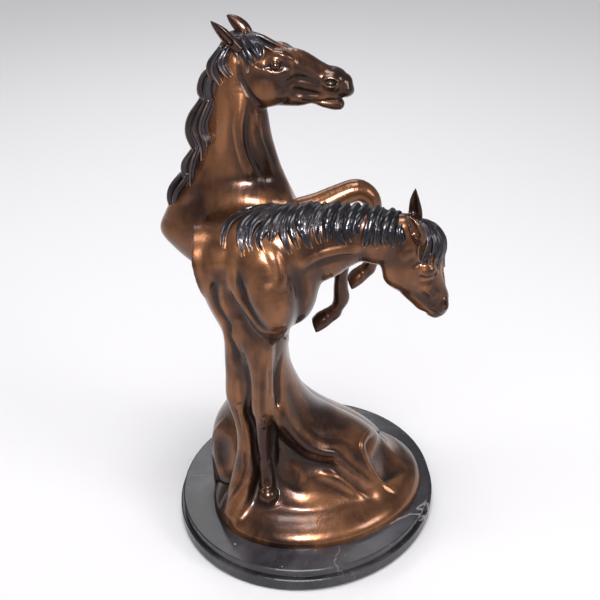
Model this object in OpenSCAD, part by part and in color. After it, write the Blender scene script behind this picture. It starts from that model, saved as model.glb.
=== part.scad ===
// Tabletop bronze: two half-length horses in two nested hollow castings,
// bolted down on one oval marble slab. Millimetres, +Z up. The origin is the
// centre of the underside; the heads look along +X and the show side is -Y.

/* [Marble base] */
// Long axis of the oval slab
base_long = 350; // [340:1:370]
// Short axis of the oval slab
base_wide = 326; // [318:1:350]
// Angle of the long axis from the +X axis, degrees
base_turn = 50; // [45:1:55]
// Thickness of the slab
base_thick = 28; // [26:1:34]
// Width of the step between the upper and lower band of the edge
edge_step = 4; // [3:0.5:6]
// Height of the lower band of the edge
lower_band = 15; // [13:1:16]
// Height of the cove cut between the two bands
cove = 3; // [2:0.5:4]
// Chamfer along the rims of both bands
rim = 1.5; // [1:0.25:2]
// Thickness of the felt glued under the slab
felt_thick = 2; // [1:0.5:3]

/* [Castings] */
// Wall of the hollow castings
wall = 5; // [4:0.5:6]
// Gap between the front and the rear casting along the seam
seam_gap = 0.4; // [0.3:0.1:0.8]
// Number of flats around each oval section
flats = 24; // [20:4:28]

/* [Fasteners] */
// Diameter of the threaded studs and of the hole tapped for them
stud_d = 8; // [6:1:8]
// Clearance hole drilled through the slab
stud_hole = 9; // [8.5:0.5:10]
// Counterbore diameter in the underside of the slab
counterbore = 24; // [22:1:26]
// Depth of the counterbore
counterbore_deep = 14; // [13:0.5:16]
// Diameter of the dowels that pin the two castings together
dowel_d = 6; // [5:0.5:7]

/* [Hidden] */

base_top = felt_thick + base_thick;
fit_gap = 0.05;
slice_h = 0.8;
far = 600;

strap_h = 6;
strap_w = 24;
lug_d = 18;
lug_h = 12;
washer_d = 20;
washer_h = 2;
nut_af = 13;
nut_h = 6.5;
stud_low = felt_thick + 3;
stud_high = base_top + 20;

// Stud centres: two under the front casting's strap, two under the rear lugs
front_studs = [[-50, -20], [70, -20]];
rear_studs = [[-98, 60], [28, 117]];
all_studs = concat(front_studs, rear_studs);

// Dowels that cross the seam: x and z of each axis
dowels = [[-95, 385], [-35, 385], [-60, 310]];
dowel_y = [-8, 24];

// Oval sections of each body, from the foot up: centre x, y, z, half depth,
// half width, turn about Z
front_mass_rows = [
    [15, -15, 20, 141, 110, 25],
    [15, -15, 32, 142, 110, 25],
    [14, -15, 44, 138, 105, 25],
    [12, -14, 56, 124, 93, 23],
    [10, -14, 70, 107, 77, 20],
    [9, -13, 86, 94, 64, 17],
    [6, -13, 104, 84, 56, 13],
    [-3, -15, 122, 75, 51, 9],
    [-17, -18, 142, 62, 49, 5],
    [-32, -21, 165, 47, 47, 2],
    [-50, -24, 200, 42, 46, 0],
    [-60, -26, 250, 36, 44, 0],
    [-61, -29, 300, 42, 41, 0],
    [-60, -32, 335, 57, 38, 0],
    [-60, -34, 370, 66, 37, 0],
    [-60, -36, 395, 68, 37, 0],
    [-61, -36, 412, 66, 35, 0],
    [-61, -37, 426, 60, 32, 0],
    [-61, -38, 437, 38, 22, 0]
];
rear_mass_rows = [
    [0, 18, 20, 128, 113, 24],
    [-1, 18, 34, 126, 111, 24],
    [-7, 20, 54, 120, 102, 20],
    [-20, 24, 78, 108, 88, 12],
    [-38, 28, 104, 85, 74, 8],
    [-47, 32, 130, 61, 60, 5],
    [-54, 34, 160, 44, 48, 2],
    [-58, 37, 200, 35, 42, 0],
    [-60, 40, 250, 36, 40, 0],
    [-62, 42, 300, 50, 42, 0],
    [-72, 44, 336, 63, 45, 0],
    [-82, 45, 360, 78, 47, 0],
    [-88, 45, 382, 88, 48, 0],
    [-87, 45, 402, 79, 47, 0],
    [-84, 45, 425, 67, 42, 0],
    [-82, 45, 448, 50, 34, 0]
];

// Oval sections of each limb, square to its path: centre x, y, z, half depth
// in the plane of the profile, half width across it
front_neck_rows = [
    [-45, -38, 398, 41, 36],
    [-15, -37, 401, 44, 33],
    [10, -36, 404, 45, 28],
    [35, -36, 411, 37, 24],
    [58, -36, 414, 31, 20.5],
    [80, -36, 410, 31, 20],
    [98, -36, 403, 28, 19]
];
front_head_rows = [
    [104, -36, 426, 15, 14],
    [109, -36, 408, 27, 18.5],
    [114, -36, 390, 31, 20.5],
    [119, -36, 373, 32, 20.5],
    [127, -36, 356, 27, 18],
    [136, -36, 341, 22.5, 15.5],
    [143, -36, 330, 19.5, 14.5],
    [147, -36, 322, 14, 12.5],
    [149, -36, 315, 7, 7]
];
front_edge_rows = [
    [-75, -30, 258, 17, 24],
    [-78, -33, 282, 16, 25],
    [-86, -35, 304, 16, 27],
    [-96, -36, 328, 17, 30],
    [-104, -36, 355, 18, 33],
    [-107, -36, 382, 20, 35],
    [-107, -36, 398, 20, 34]
];
front_barrel_rows = [
    [-127, -36, 387, 40, 37],
    [-100, -36, 388, 42, 38],
    [-70, -36, 390, 43, 38],
    [-30, -36, 396, 40, 35]
];
front_skirt_rows = [
    [-76, -46, 160, 9, 12],
    [-76, -54, 125, 12, 14],
    [-80, -62, 92, 15, 17],
    [-86, -72, 66, 16, 19],
    [-92, -80, 46, 14, 19]
];
front_mane_rows = [
    [-94, -46, 428, 9, 10],
    [-70, -50, 430, 20, 20],
    [-40, -52, 433, 20, 22],
    [-10, -50, 435, 18, 22],
    [20, -48, 436, 18, 20],
    [50, -46, 437, 17, 19],
    [80, -45, 434, 17, 18],
    [104, -44, 426, 14, 15]
];
front_forelock_rows = [
    [112, -40, 436, 9, 14],
    [130, -40, 428, 12, 16],
    [143, -40, 408, 10, 14],
    [149, -40, 388, 5, 8]
];
front_near_leg_rows = [
    [-62, -60, 322, 24, 14],
    [-61, -63, 300, 22, 16],
    [-57, -66, 275, 17, 15],
    [-55, -68, 245, 14, 13],
    [-55, -70, 218, 13, 12.5],
    [-55, -70, 200, 12.5, 12],
    [-55, -69, 183, 9, 10],
    [-55, -68, 150, 7.5, 9],
    [-53, -68, 115, 7, 9],
    [-51, -70, 98, 8, 9],
    [-50, -74, 84, 9, 9.5],
    [-50, -79, 76, 13, 13],
    [-50, -77, 62, 14, 14]
];
front_far_leg_rows = [
    [-80, -56, 300, 16, 12],
    [-84, -52, 265, 14, 12],
    [-86, -50, 235, 12.5, 12],
    [-86, -50, 205, 13, 13],
    [-82, -50, 176, 10, 11],
    [-76, -52, 145, 8.5, 10],
    [-72, -54, 112, 8.5, 10],
    [-72, -56, 90, 10, 11]
];
rear_neck_rows = [
    [-86, 45, 405, 76, 40],
    [-83, 45, 440, 58, 36],
    [-80, 44, 470, 46, 30],
    [-79, 44, 500, 37, 26],
    [-79, 44, 530, 31, 23],
    [-78, 44, 560, 26, 20],
    [-76, 44, 585, 18, 15]
];
rear_skull_rows = [
    [-80, 44, 583, 19, 14],
    [-62, 44, 583, 23, 18.5],
    [-45, 44, 582, 22, 21],
    [-28, 44, 581, 20, 20.5],
    [-12, 44, 580, 17.5, 16.5],
    [4, 44, 572.5, 15.5, 14.5],
    [18, 44, 566, 14.5, 13.5],
    [29, 44, 563, 15, 13.5],
    [36, 44, 560, 12.5, 12],
    [43, 44, 557, 7, 8]
];
rear_jaw_rows = [
    [-50, 44, 558, 22, 17],
    [-30, 44, 553, 18, 15.5],
    [-12, 44, 548, 13, 13.5],
    [4, 44, 548, 10, 11.5],
    [18, 44, 541.5, 8.5, 10],
    [28, 44, 538, 7.5, 9.5],
    [33, 44, 537, 6.5, 8.5],
    [39, 44, 537, 4, 6]
];
rear_mane_rows = [
    [-86, 44, 611, 9, 12],
    [-99, 44, 588, 13, 15],
    [-106, 44, 560, 14, 17],
    [-115, 44, 530, 14, 17],
    [-121, 44, 500, 14, 17],
    [-129, 44, 470, 14, 17],
    [-142, 43, 438, 16, 16],
    [-152, 42, 411, 10, 11]
];
rear_forelock_rows = [
    [-82, 44, 616, 8, 13],
    [-60, 44, 616, 11, 18],
    [-40, 44, 611, 9, 16],
    [-26, 42, 600, 4, 8]
];
rear_near_leg_rows = [
    [-20, 30, 392, 24, 18],
    [10, 28, 398, 19, 15],
    [36, 28, 400, 15, 13],
    [46, 29, 391, 13.5, 12.5],
    [46, 30, 376, 11, 11],
    [43, 32, 350, 9, 9.5],
    [40, 33, 325, 8, 8.5],
    [40, 34, 305, 9, 9],
    [41, 35, 291, 10, 9.5],
    [37, 35, 279, 8, 8],
    [31, 35, 269, 8, 8],
    [24.6, 35, 264.2, 10, 10.5],
    [18, 35, 259.5, 12, 12.5],
    [11, 35, 255, 11, 12.5]
];
rear_far_leg_rows = [
    [-22, 67, 381, 26, 20],
    [10, 72, 394, 20, 17],
    [36, 77, 408, 15, 14],
    [58, 80, 415, 14, 13],
    [73, 80, 408, 12, 12],
    [79, 80, 392, 11, 11],
    [80, 80, 362, 8.5, 9],
    [80, 80, 335, 7.5, 8],
    [80, 80, 318, 9, 9],
    [75, 80, 306, 8, 8],
    [69, 80, 300.7, 10, 10.5],
    [63, 80, 296, 12, 12.5],
    [56, 80, 291, 11, 12.5]
];

// Ears: base centre, tip, half length and half thickness of the base
front_near_ear_at = [[112, -56, 424], [103, -63, 452], 10, 6];
front_far_ear_at = [[118, -18, 430], [116, -17, 463], 10, 6];
rear_near_ear_at = [[-79, 27, 606], [-104, 25, 633], 10, 6];
rear_far_ear_at = [[-70, 60, 610], [-87, 63, 633], 10, 6];

// Cheeks: centre and half sizes
front_cheek_at = [[106, -36, 377], [22, 20, 24]];
rear_cheek_at = [[-48, 44, 560], [25, 22, 23]];

// Planes where each neck is joined to its body, and the soles and toes of the
// raised hooves: a point and the tilt of the plane
front_neck_cut = [[14, 0, 400], 80];
rear_neck_cut = [[-80, 0, 432], 6];
near_hoof_cuts = [[[28.6, 35, 257.2], 150], [[7.8, 35, 251.6], 248]];
far_hoof_cuts = [[[73.4, 80, 294], 147], [[53, 80, 286.6], 245]];

bronze = [0.36, 0.22, 0.12];
dark_bronze = [0.13, 0.10, 0.09];
brass = [0.72, 0.58, 0.32];
steel = [0.62, 0.63, 0.65];
black_marble = [0.06, 0.06, 0.07];
felt_green = [0.10, 0.20, 0.14];

// Point t of the way from b to c on a smooth curve through four rows
function blend(a, b, c, d, t) =
    0.5 * (2 * b + (c - a) * t
        + (2 * a - 5 * b + 4 * c - d) * t * t
        + (3 * b - a - 3 * c + d) * t * t * t);

// The rows with one more section between each two, on a smooth curve
function smooth(rows) =
    let (last = len(rows) - 1)
    [for (i = [0 : 2 * last])
        let (k = min(floor(i / 2), last - 1))
        i % 2 == 0 ? rows[i / 2]
            : blend(rows[max(k - 1, 0)], rows[k], rows[k + 1], rows[min(k + 2, last)], 0.5)];

// The rows of a casting's inside, which stops short of its top
function without_top(rows) = [for (i = [0 : len(rows) - 2]) rows[i]];

// Points of an oval with half axes a and b
function oval(a, b, step = 4) = [for (t = [0 : step : 359]) [a * cos(t), b * sin(t)]];

// Thin oval plate at one row of a body
module plate(row, grow) {
    translate([row[0], row[1], row[2]])
        rotate(row[5])
            linear_extrude(slice_h)
                polygon(oval(row[3] + grow, row[4] + grow, 360 / flats));
}

// Solid body over its oval rows; grow thickens or thins it
module mass(rows, grow = 0) {
    for (i = [0 : len(rows) - 2])
        hull() {
            plate(rows[i], grow);
            plate(rows[i + 1], grow);
        }
}

// Thin oval plate square to the path of a limb
module slice(rows, i, grow) {
    before = rows[max(i - 1, 0)];
    after = rows[min(i + 1, len(rows) - 1)];
    row = rows[i];
    translate([row[0], row[1], row[2]])
        rotate([0, atan2(after[0] - before[0], after[2] - before[2]), 0])
            linear_extrude(slice_h)
                polygon(oval(row[3] + grow, row[4] + grow, 20));
}

// Solid leg: ellipsoids at its rows, joined one to the next
module leg(rows, grow = 0) {
    for (i = [0 : len(rows) - 2])
        hull()
            for (row = [rows[i], rows[i + 1]])
                translate([row[0], row[1], row[2]])
                    scale([1, (row[4] + grow) / (row[3] + grow), 1])
                        sphere(row[3] + grow, $fn = 14);
}

// Solid limb over its oval rows
module limb(rows, grow = 0) {
    fine = smooth(rows);
    for (i = [0 : len(fine) - 2])
        hull() {
            slice(fine, i, grow);
            slice(fine, i + 1, grow);
        }
}

// Leaf-shaped ear from its base to its tip
module ear(at) {
    middle = at[0] * 0.45 + at[1] * 0.55;
    hull() {
        translate(at[0])
            scale([1, at[3] / at[2], 1])
                sphere(at[2], $fn = 12);
        translate(middle)
            scale([0.9, 0.6, 1])
                sphere(at[3], $fn = 12);
        translate(at[1])
            sphere(1, $fn = 12);
    }
}

// Half space above a plane through a point, tilted about Y
module beyond(cut) {
    translate(cut[0])
        rotate([0, cut[1], 0])
            translate([-far, -far, 0])
                cube([2 * far, 2 * far, far]);
}

// Everything under the plane where the castings stand
module below_foot() {
    translate([-far, -far, base_top - far])
        cube([2 * far, 2 * far, far]);
}

// Torso and foot of the front casting, with the squared edge along the seam
module front_trunk(grow = 0) {
    mass(front_mass_rows, grow);
    limb(front_edge_rows, grow);
    translate([-grow, 0, 0])
        limb(front_barrel_rows, grow);
}

module cheek(at) {
    translate(at[0])
        scale(at[1])
            sphere(1, $fn = 20);
}

// Holes for the dowels that cross the seam
module dowel_holes() {
    for (at = dowels)
        translate([at[0], dowel_y[0], at[1]])
            rotate([-90, 0, 0])
                cylinder(h = dowel_y[1] - dowel_y[0], d = dowel_d + 0.4, $fn = 24);
}

module front_head_form() {
    limb(front_neck_rows);
    limb(front_head_rows);
    cheek(front_cheek_at);
}

module front_legs_form(grow = 0) {
    leg(front_near_leg_rows, grow);
    leg(front_far_leg_rows, grow);
    leg(front_skirt_rows, grow);
}

module rear_head_form() {
    limb(rear_neck_rows);
    limb(rear_skull_rows);
    limb(rear_jaw_rows);
    cheek(rear_cheek_at);
}

// One band of the slab's edge with chamfered rims
module band(inset, low, high) {
    half = [base_long / 2 - inset, base_wide / 2 - inset];
    translate([0, 0, low + rim])
        linear_extrude(high - low - 2 * rim)
            polygon(oval(half[0], half[1]));
    for (edge = [[low, low + rim, rim, 0], [high - rim, high, 0, rim]])
        hull() {
            translate([0, 0, edge[0]])
                linear_extrude(slice_h)
                    polygon(oval(half[0] - edge[2], half[1] - edge[2]));
            translate([0, 0, edge[1] - slice_h])
                linear_extrude(slice_h)
                    polygon(oval(half[0] - edge[3], half[1] - edge[3]));
        }
}

module marble_base() {
    color(black_marble)
        difference() {
            rotate(base_turn) {
                translate([0, 0, felt_thick]) {
                    band(0, 0, lower_band);
                    band(edge_step, lower_band + cove, base_thick);
                    linear_extrude(base_thick)
                        polygon(oval(base_long / 2 - edge_step - 3, base_wide / 2 - edge_step - 3));
                }
            }
            for (at = all_studs)
                translate([at[0], at[1], felt_thick - 1]) {
                    cylinder(h = base_thick + 2, d = stud_hole, $fn = 48);
                    cylinder(h = counterbore_deep + 1, d = counterbore, $fn = 48);
                }
        }
}

module base_felt() {
    color(felt_green)
        rotate(base_turn)
            linear_extrude(felt_thick)
                polygon(oval(base_long / 2 - 6, base_wide / 2 - 6));
}

module front_body() {
    color(bronze)
        difference() {
            union() {
                front_trunk();
                front_legs_form();
                difference() {
                    limb(front_neck_rows);
                    beyond(front_neck_cut);
                }
            }
            mass(without_top(front_mass_rows), -wall);
            limb(without_top(front_edge_rows), -wall);
            limb(front_neck_rows, -wall);
            below_foot();
            dowel_holes();
        }
}

module front_neck_head() {
    color(bronze)
        difference() {
            intersection() {
                front_head_form();
                beyond(front_neck_cut);
            }
            front_trunk();
            limb(front_neck_rows, -wall);
        }
}

module front_mane() {
    color(dark_bronze)
        difference() {
            limb(front_mane_rows);
            front_trunk();
            front_head_form();
            ear(front_near_ear_at);
        }
}

module front_forelock() {
    color(dark_bronze)
        difference() {
            limb(front_forelock_rows);
            front_head_form();
            limb(front_mane_rows);
            ear(front_near_ear_at);
            ear(front_far_ear_at);
        }
}

module front_near_ear() {
    color(bronze)
        difference() {
            ear(front_near_ear_at);
            front_head_form();
        }
}

module front_far_ear() {
    color(bronze)
        difference() {
            ear(front_far_ear_at);
            front_head_form();
            limb(front_mane_rows);
        }
}

module rear_body() {
    color(bronze)
        difference() {
            union() {
                mass(rear_mass_rows);
                limb(rear_neck_rows);
            }
            difference() {
                union() {
                    mass(rear_mass_rows, -wall);
                    limb(rear_neck_rows, -wall);
                }
                front_trunk(wall + seam_gap);
            }
            front_trunk(seam_gap);
            front_legs_form(seam_gap);
            limb(front_mane_rows, seam_gap);
            beyond(rear_neck_cut);
            below_foot();
            dowel_holes();
        }
}

module rear_neck_head() {
    color(bronze)
        difference() {
            intersection() {
                rear_head_form();
                beyond(rear_neck_cut);
            }
            limb(rear_neck_rows, -wall);
        }
}

module rear_mane() {
    color(dark_bronze)
        difference() {
            limb(rear_mane_rows);
            mass(rear_mass_rows);
            rear_head_form();
            ear(rear_near_ear_at);
        }
}

module rear_forelock() {
    color(dark_bronze)
        difference() {
            limb(rear_forelock_rows);
            rear_head_form();
            limb(rear_mane_rows);
            ear(rear_near_ear_at);
            ear(rear_far_ear_at);
        }
}

module rear_near_ear() {
    color(bronze)
        difference() {
            ear(rear_near_ear_at);
            rear_head_form();
        }
}

module rear_far_ear() {
    color(bronze)
        difference() {
            ear(rear_far_ear_at);
            rear_head_form();
            limb(rear_mane_rows);
        }
}

module rear_near_foreleg() {
    color(bronze)
        difference() {
            leg(rear_near_leg_rows);
            mass(rear_mass_rows);
            for (cut = near_hoof_cuts)
                beyond(cut);
        }
}

module rear_far_foreleg() {
    color(bronze)
        difference() {
            leg(rear_far_leg_rows);
            mass(rear_mass_rows);
            for (cut = far_hoof_cuts)
                beyond(cut);
        }
}

// Flat bar inside the foot of the front casting, tapped for two studs
module front_strap() {
    first = front_studs[0];
    last = front_studs[1];
    color(steel)
        difference() {
            translate([first[0] - 25, first[1] - strap_w / 2, base_top])
                cube([last[0] - first[0] + 50, strap_w, strap_h]);
            for (at = front_studs)
                translate([at[0], at[1], base_top - 1])
                    cylinder(h = strap_h + 2, d = stud_d + 2 * fit_gap, $fn = 48);
        }
}

// Round tapped lugs inside the foot of the rear casting
module rear_lugs() {
    color(brass)
        for (at = rear_studs)
            translate([at[0], at[1], base_top])
                difference() {
                    cylinder(h = lug_h, d = lug_d, $fn = 48);
                    translate([0, 0, -1])
                        cylinder(h = lug_h + 2, d = stud_d + 2 * fit_gap, $fn = 48);
                }
}

module studs() {
    color(steel)
        for (at = all_studs)
            translate([at[0], at[1], stud_low])
                cylinder(h = stud_high - stud_low, d = stud_d, $fn = 48);
}

module washers() {
    color(steel)
        for (at = all_studs)
            translate([at[0], at[1], felt_thick + counterbore_deep - washer_h])
                difference() {
                    cylinder(h = washer_h, d = washer_d, $fn = 48);
                    translate([0, 0, -1])
                        cylinder(h = washer_h + 2, d = stud_d + 0.5, $fn = 48);
                }
}

module nuts() {
    color(steel)
        for (at = all_studs)
            translate([at[0], at[1], felt_thick + counterbore_deep - washer_h - nut_h])
                difference() {
                    cylinder(h = nut_h, d = nut_af / cos(30), $fn = 6);
                    translate([0, 0, -1])
                        cylinder(h = nut_h + 2, d = stud_d + 2 * fit_gap, $fn = 48);
                }
}

module seam_dowels() {
    color(steel)
        for (at = dowels)
            translate([at[0], dowel_y[0] + 1, at[1]])
                rotate([-90, 0, 0])
                    cylinder(h = dowel_y[1] - dowel_y[0] - 2, d = dowel_d, $fn = 48);
}

marble_base();
base_felt();
front_body();
front_neck_head();
front_mane();
front_forelock();
front_near_ear();
front_far_ear();
rear_body();
rear_neck_head();
rear_mane();
rear_forelock();
rear_near_ear();
rear_far_ear();
rear_near_foreleg();
rear_far_foreleg();
front_strap();
rear_lugs();
studs();
washers();
nuts();
seam_dowels();
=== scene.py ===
"""Two nested bronze horses on a flowing foot and an oval marble slab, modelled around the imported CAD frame.

The bronzes are modelled as clay: a block of signed distances that limbs are added to, creases are pressed
into and locks of hair are laid on. Each casting is then skinned with one smooth mesh. Lengths are
millimetres of the design, and UNIT turns them into the frame's metres.
"""

import math

import bmesh
import bpy
import numpy as np
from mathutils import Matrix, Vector


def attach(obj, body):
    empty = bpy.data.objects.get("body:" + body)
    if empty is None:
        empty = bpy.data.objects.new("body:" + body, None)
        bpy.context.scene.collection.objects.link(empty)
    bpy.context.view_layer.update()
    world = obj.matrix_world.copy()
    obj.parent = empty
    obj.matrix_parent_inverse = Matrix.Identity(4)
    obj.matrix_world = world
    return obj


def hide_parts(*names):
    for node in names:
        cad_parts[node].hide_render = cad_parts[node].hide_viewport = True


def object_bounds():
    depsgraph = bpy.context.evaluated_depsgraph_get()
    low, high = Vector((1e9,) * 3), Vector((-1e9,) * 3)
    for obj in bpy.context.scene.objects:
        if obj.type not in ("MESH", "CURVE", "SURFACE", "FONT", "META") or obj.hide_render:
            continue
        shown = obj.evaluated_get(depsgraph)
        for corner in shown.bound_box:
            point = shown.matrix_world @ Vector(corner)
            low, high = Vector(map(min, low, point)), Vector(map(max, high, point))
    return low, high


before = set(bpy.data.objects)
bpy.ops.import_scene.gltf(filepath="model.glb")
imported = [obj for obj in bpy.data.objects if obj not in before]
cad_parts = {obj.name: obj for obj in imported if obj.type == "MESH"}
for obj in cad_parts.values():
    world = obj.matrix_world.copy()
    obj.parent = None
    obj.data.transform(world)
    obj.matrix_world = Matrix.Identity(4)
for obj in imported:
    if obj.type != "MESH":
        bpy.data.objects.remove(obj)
cad_box = [list(corner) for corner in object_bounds()]

DESIGN_HEIGHT = 634.0
UNIT = (cad_box[1][2] - cad_box[0][2]) / DESIGN_HEIGHT

FOOT_Z = 30.0
EMPTY = 60.0
CAP = 1
WEAR_SIZES = (("fine_wear", 1.6), ("broad_wear", 7.0))
EYE = np.array([-10.0, -985.0, 910.0])
FRONT_PLANE = -36.0
REAR_PLANE = 44.0


# ---------------------------------------------------------------- clay: a block of signed distances

def curve_through(rows, steps):
    """Rows on a smooth curve through the given rows, with that many steps from each to the next."""
    rows = np.asarray(rows, float)
    padded = np.vstack([2 * rows[0] - rows[1], rows, 2 * rows[-1] - rows[-2]])
    out = []
    for i in range(len(rows) - 1):
        a, b, c, d = padded[i:i + 4]
        for t in np.arange(steps) / steps:
            out.append(0.5 * (2 * b + (c - a) * t + (2 * a - 5 * b + 4 * c - d) * t ** 2
                              + (3 * b - a - 3 * c + d) * t ** 3))
    out.append(rows[-1])
    return np.array(out)


def smooth_min(a, b, k):
    """The smaller of two distances, with a fillet of about k millimetres where they meet."""
    if k <= 0:
        return np.minimum(a, b)
    h = np.maximum(k - np.abs(a - b), 0) / k
    return np.minimum(a, b) - h * h * k / 4


class Clay:
    """A block of signed distances, negative inside the metal."""

    def __init__(self, low, high, step):
        self.low = np.array(low, float)
        self.step = step
        self.count = np.ceil((np.array(high, float) - self.low) / step).astype(int) + 1
        self.d = np.full(self.count, EMPTY, np.float32)

    def window(self, low, high, within=None):
        """The slices and coordinates of the block between two corners, or None outside it."""
        floor = [s.start for s in within] if within else 0
        roof = [s.stop for s in within] if within else self.count
        start = np.clip(np.floor((np.asarray(low) - self.low) / self.step).astype(int), floor, roof)
        stop = np.clip(np.ceil((np.asarray(high) - self.low) / self.step).astype(int) + 1, floor, roof)
        if np.any(stop <= start):
            return None
        cut = tuple(slice(a, b) for a, b in zip(start, stop))
        axes = [(self.low[i] + self.step * np.arange(start[i],
            stop[i])).astype(np.float32) for i in range(3)]
        return cut, axes[0][:, None, None], axes[1][None, :, None], axes[2][None, None, :]

    def join(self, cut, d, blend):
        self.d[cut] = smooth_min(self.d[cut], d, blend)

    def carve(self, cut, d, blend):
        self.d[cut] = -smooth_min(-self.d[cut], d, blend)

    def trim(self, place, normal, low, high):
        """Takes away what lies past a plane, inside a box."""
        local = self.window(low, high)
        if local is not None:
            cut, x, y, z = local
            beyond = (x - place[0]) * normal[0] + (y - place[1]) * normal[1] + (z - place[2]) * normal[2]
            self.d[cut] = np.maximum(self.d[cut], beyond.astype(np.float32))

    def tube_field(self, rows, reach, across, steps):
        """Distances to a limb: rows of x, y, z, half depth, half width, inside a window around it."""
        fine = curve_through(rows, steps)
        places, depth, width = fine[:, :3], np.maximum(fine[:, 3], 0.3), np.maximum(fine[:, 4], 0.3)
        girth = np.maximum(depth, width)
        low = (places - girth[:, None]).min(0) - reach
        high = (places + girth[:, None]).max(0) + reach
        whole = self.window(low, high)
        if whole is None:
            return None
        cut, *_ = whole
        shape = [s.stop - s.start for s in cut]
        nearest = np.full(shape, 1e6, np.float32)
        terms = [np.zeros(shape, np.float32) for _ in range(3)]
        halves = [np.ones(shape, np.float32) for _ in range(3)]
        across = np.array(across, float) / np.linalg.norm(across)
        last = len(fine) - 2
        for i in range(len(fine) - 1):
            a, b = places[i], places[i + 1]
            along = b - a
            length = np.linalg.norm(along)
            if length < 1e-6:
                continue
            along = along / length
            side = across - along * (across @ along)
            side /= max(np.linalg.norm(side), 1e-6)
            up = np.cross(side, along)
            r = max(girth[i], girth[i + 1]) + reach
            local = self.window(np.minimum(a, b) - r, np.maximum(a, b) + r, cut)
            if local is None:
                continue
            sub, x, y, z = local
            dx, dy, dz = x - np.float32(a[0]), y - np.float32(a[1]), z - np.float32(a[2])
            s = (dx * along[0] + dy * along[1] + dz * along[2]).astype(np.float32)
            t = np.clip(s / length, 0, 1)
            w = s - t * length
            u = (dx * up[0] + dy * up[1] + dz * up[2]).astype(np.float32)
            v = (dx * side[0] + dy * side[1] + dz * side[2]).astype(np.float32)
            far = u * u + v * v + w * w
            place = tuple(slice(k.start - c.start, k.stop - c.start) for k, c in zip(sub, cut))
            closer = far < nearest[place]
            np.copyto(nearest[place], far, where=closer)
            p = depth[i] + t * (depth[i + 1] - depth[i])
            q = width[i] + t * (width[i + 1] - width[i])
            at_end = ((i == 0) & (s < 0)) | ((i == last) & (s > length))
            e = np.where(at_end, np.minimum(p, q), p)
            for store, value in zip(terms + halves, (u, v, w, p, q, e)):
                np.copyto(store[place], value, where=closer)
        (u, v, w), (p, q, e) = terms, halves
        k0 = np.sqrt((u / p) ** 2 + (v / q) ** 2 + (w / e) ** 2)
        k1 = np.sqrt((u / p ** 2) ** 2 + (v / q ** 2) ** 2 + (w / e ** 2) ** 2)
        field = np.where(nearest > 9e5, 1e3, k0 * (k0 - 1) / np.maximum(k1, 1e-6)).astype(np.float32)
        return cut, field

    def limb(self, rows, blend=6.0, across=(0, 1, 0), steps=4, dig=False):
        """Adds a limb, or digs a trench of that shape."""
        made = self.tube_field(rows, blend + 4, across, steps)
        if made is None:
            return
        cut, field = made
        near = field < blend + 3
        if dig:
            self.d[cut] = np.where(near, -smooth_min(-self.d[cut], field, blend), self.d[cut])
        else:
            self.join(cut, field, blend)

    def ball(self, centre, radii, turn=(0, 0, 0), blend=6.0, dig=False):
        """Adds or digs an ellipsoid with its axes turned by three angles in degrees."""
        centre = np.asarray(centre, float)
        radii = np.asarray(radii, float)
        reach = radii.max() + blend + 4
        local = self.window(centre - reach, centre + reach)
        if local is None:
            return
        cut, x, y, z = local
        m = turned(turn)
        dx, dy, dz = x - np.float32(centre[0]), y - np.float32(centre[1]), z - np.float32(centre[2])
        u, v, w = ((dx * m[0, i] + dy * m[1, i] + dz * m[2, i]) / radii[i] for i in range(3))
        k0 = np.sqrt(u * u + v * v + w * w)
        k1 = np.sqrt((u / radii[0]) ** 2 + (v / radii[1]) ** 2 + (w / radii[2]) ** 2)
        d = (k0 * (k0 - 1) / np.maximum(k1, 1e-6)).astype(np.float32)
        if dig:
            self.carve(cut, d, blend)
        else:
            self.join(cut, d, blend)

    def stack(self, rows, blend=0.0, steps=6, crown=12.0):
        """Adds a body over level ovals: x, y, z, half depth, half width, turn about Z in degrees."""
        fine = curve_through(rows, steps)
        order = np.argsort(fine[:, 2])
        fine = fine[order]
        heights = self.low[2] + self.step * np.arange(self.count[2])
        cx, cy, sx, sy, turn = (np.interp(heights, fine[:, 2], fine[:,
            i]).astype(np.float32) for i in (0, 1, 3, 4, 5))
        x = (self.low[0] + self.step * np.arange(self.count[0])).astype(np.float32)[:, None, None]
        y = (self.low[1] + self.step * np.arange(self.count[1])).astype(np.float32)[None, :, None]
        c, s = np.cos(np.radians(turn)), np.sin(np.radians(turn))
        dx, dy = x - cx, y - cy
        u, v = (dx * c + dy * s), (dy * c - dx * s)
        k0 = np.sqrt((u / sx) ** 2 + (v / sy) ** 2)
        k1 = np.sqrt((u / sx ** 2) ** 2 + (v / sy ** 2) ** 2)
        d = k0 * (k0 - 1) / np.maximum(k1, 1e-6)
        slope = np.gradient(d, self.step, axis=2)
        d = d / np.sqrt(1 + np.minimum(slope ** 2, 9.0))
        top = (heights - fine[-1, 2]).astype(np.float32)
        d = -smooth_min(-d, np.broadcast_to(-top, d.shape), crown)
        self.d = smooth_min(self.d, d.astype(np.float32), blend)

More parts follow.
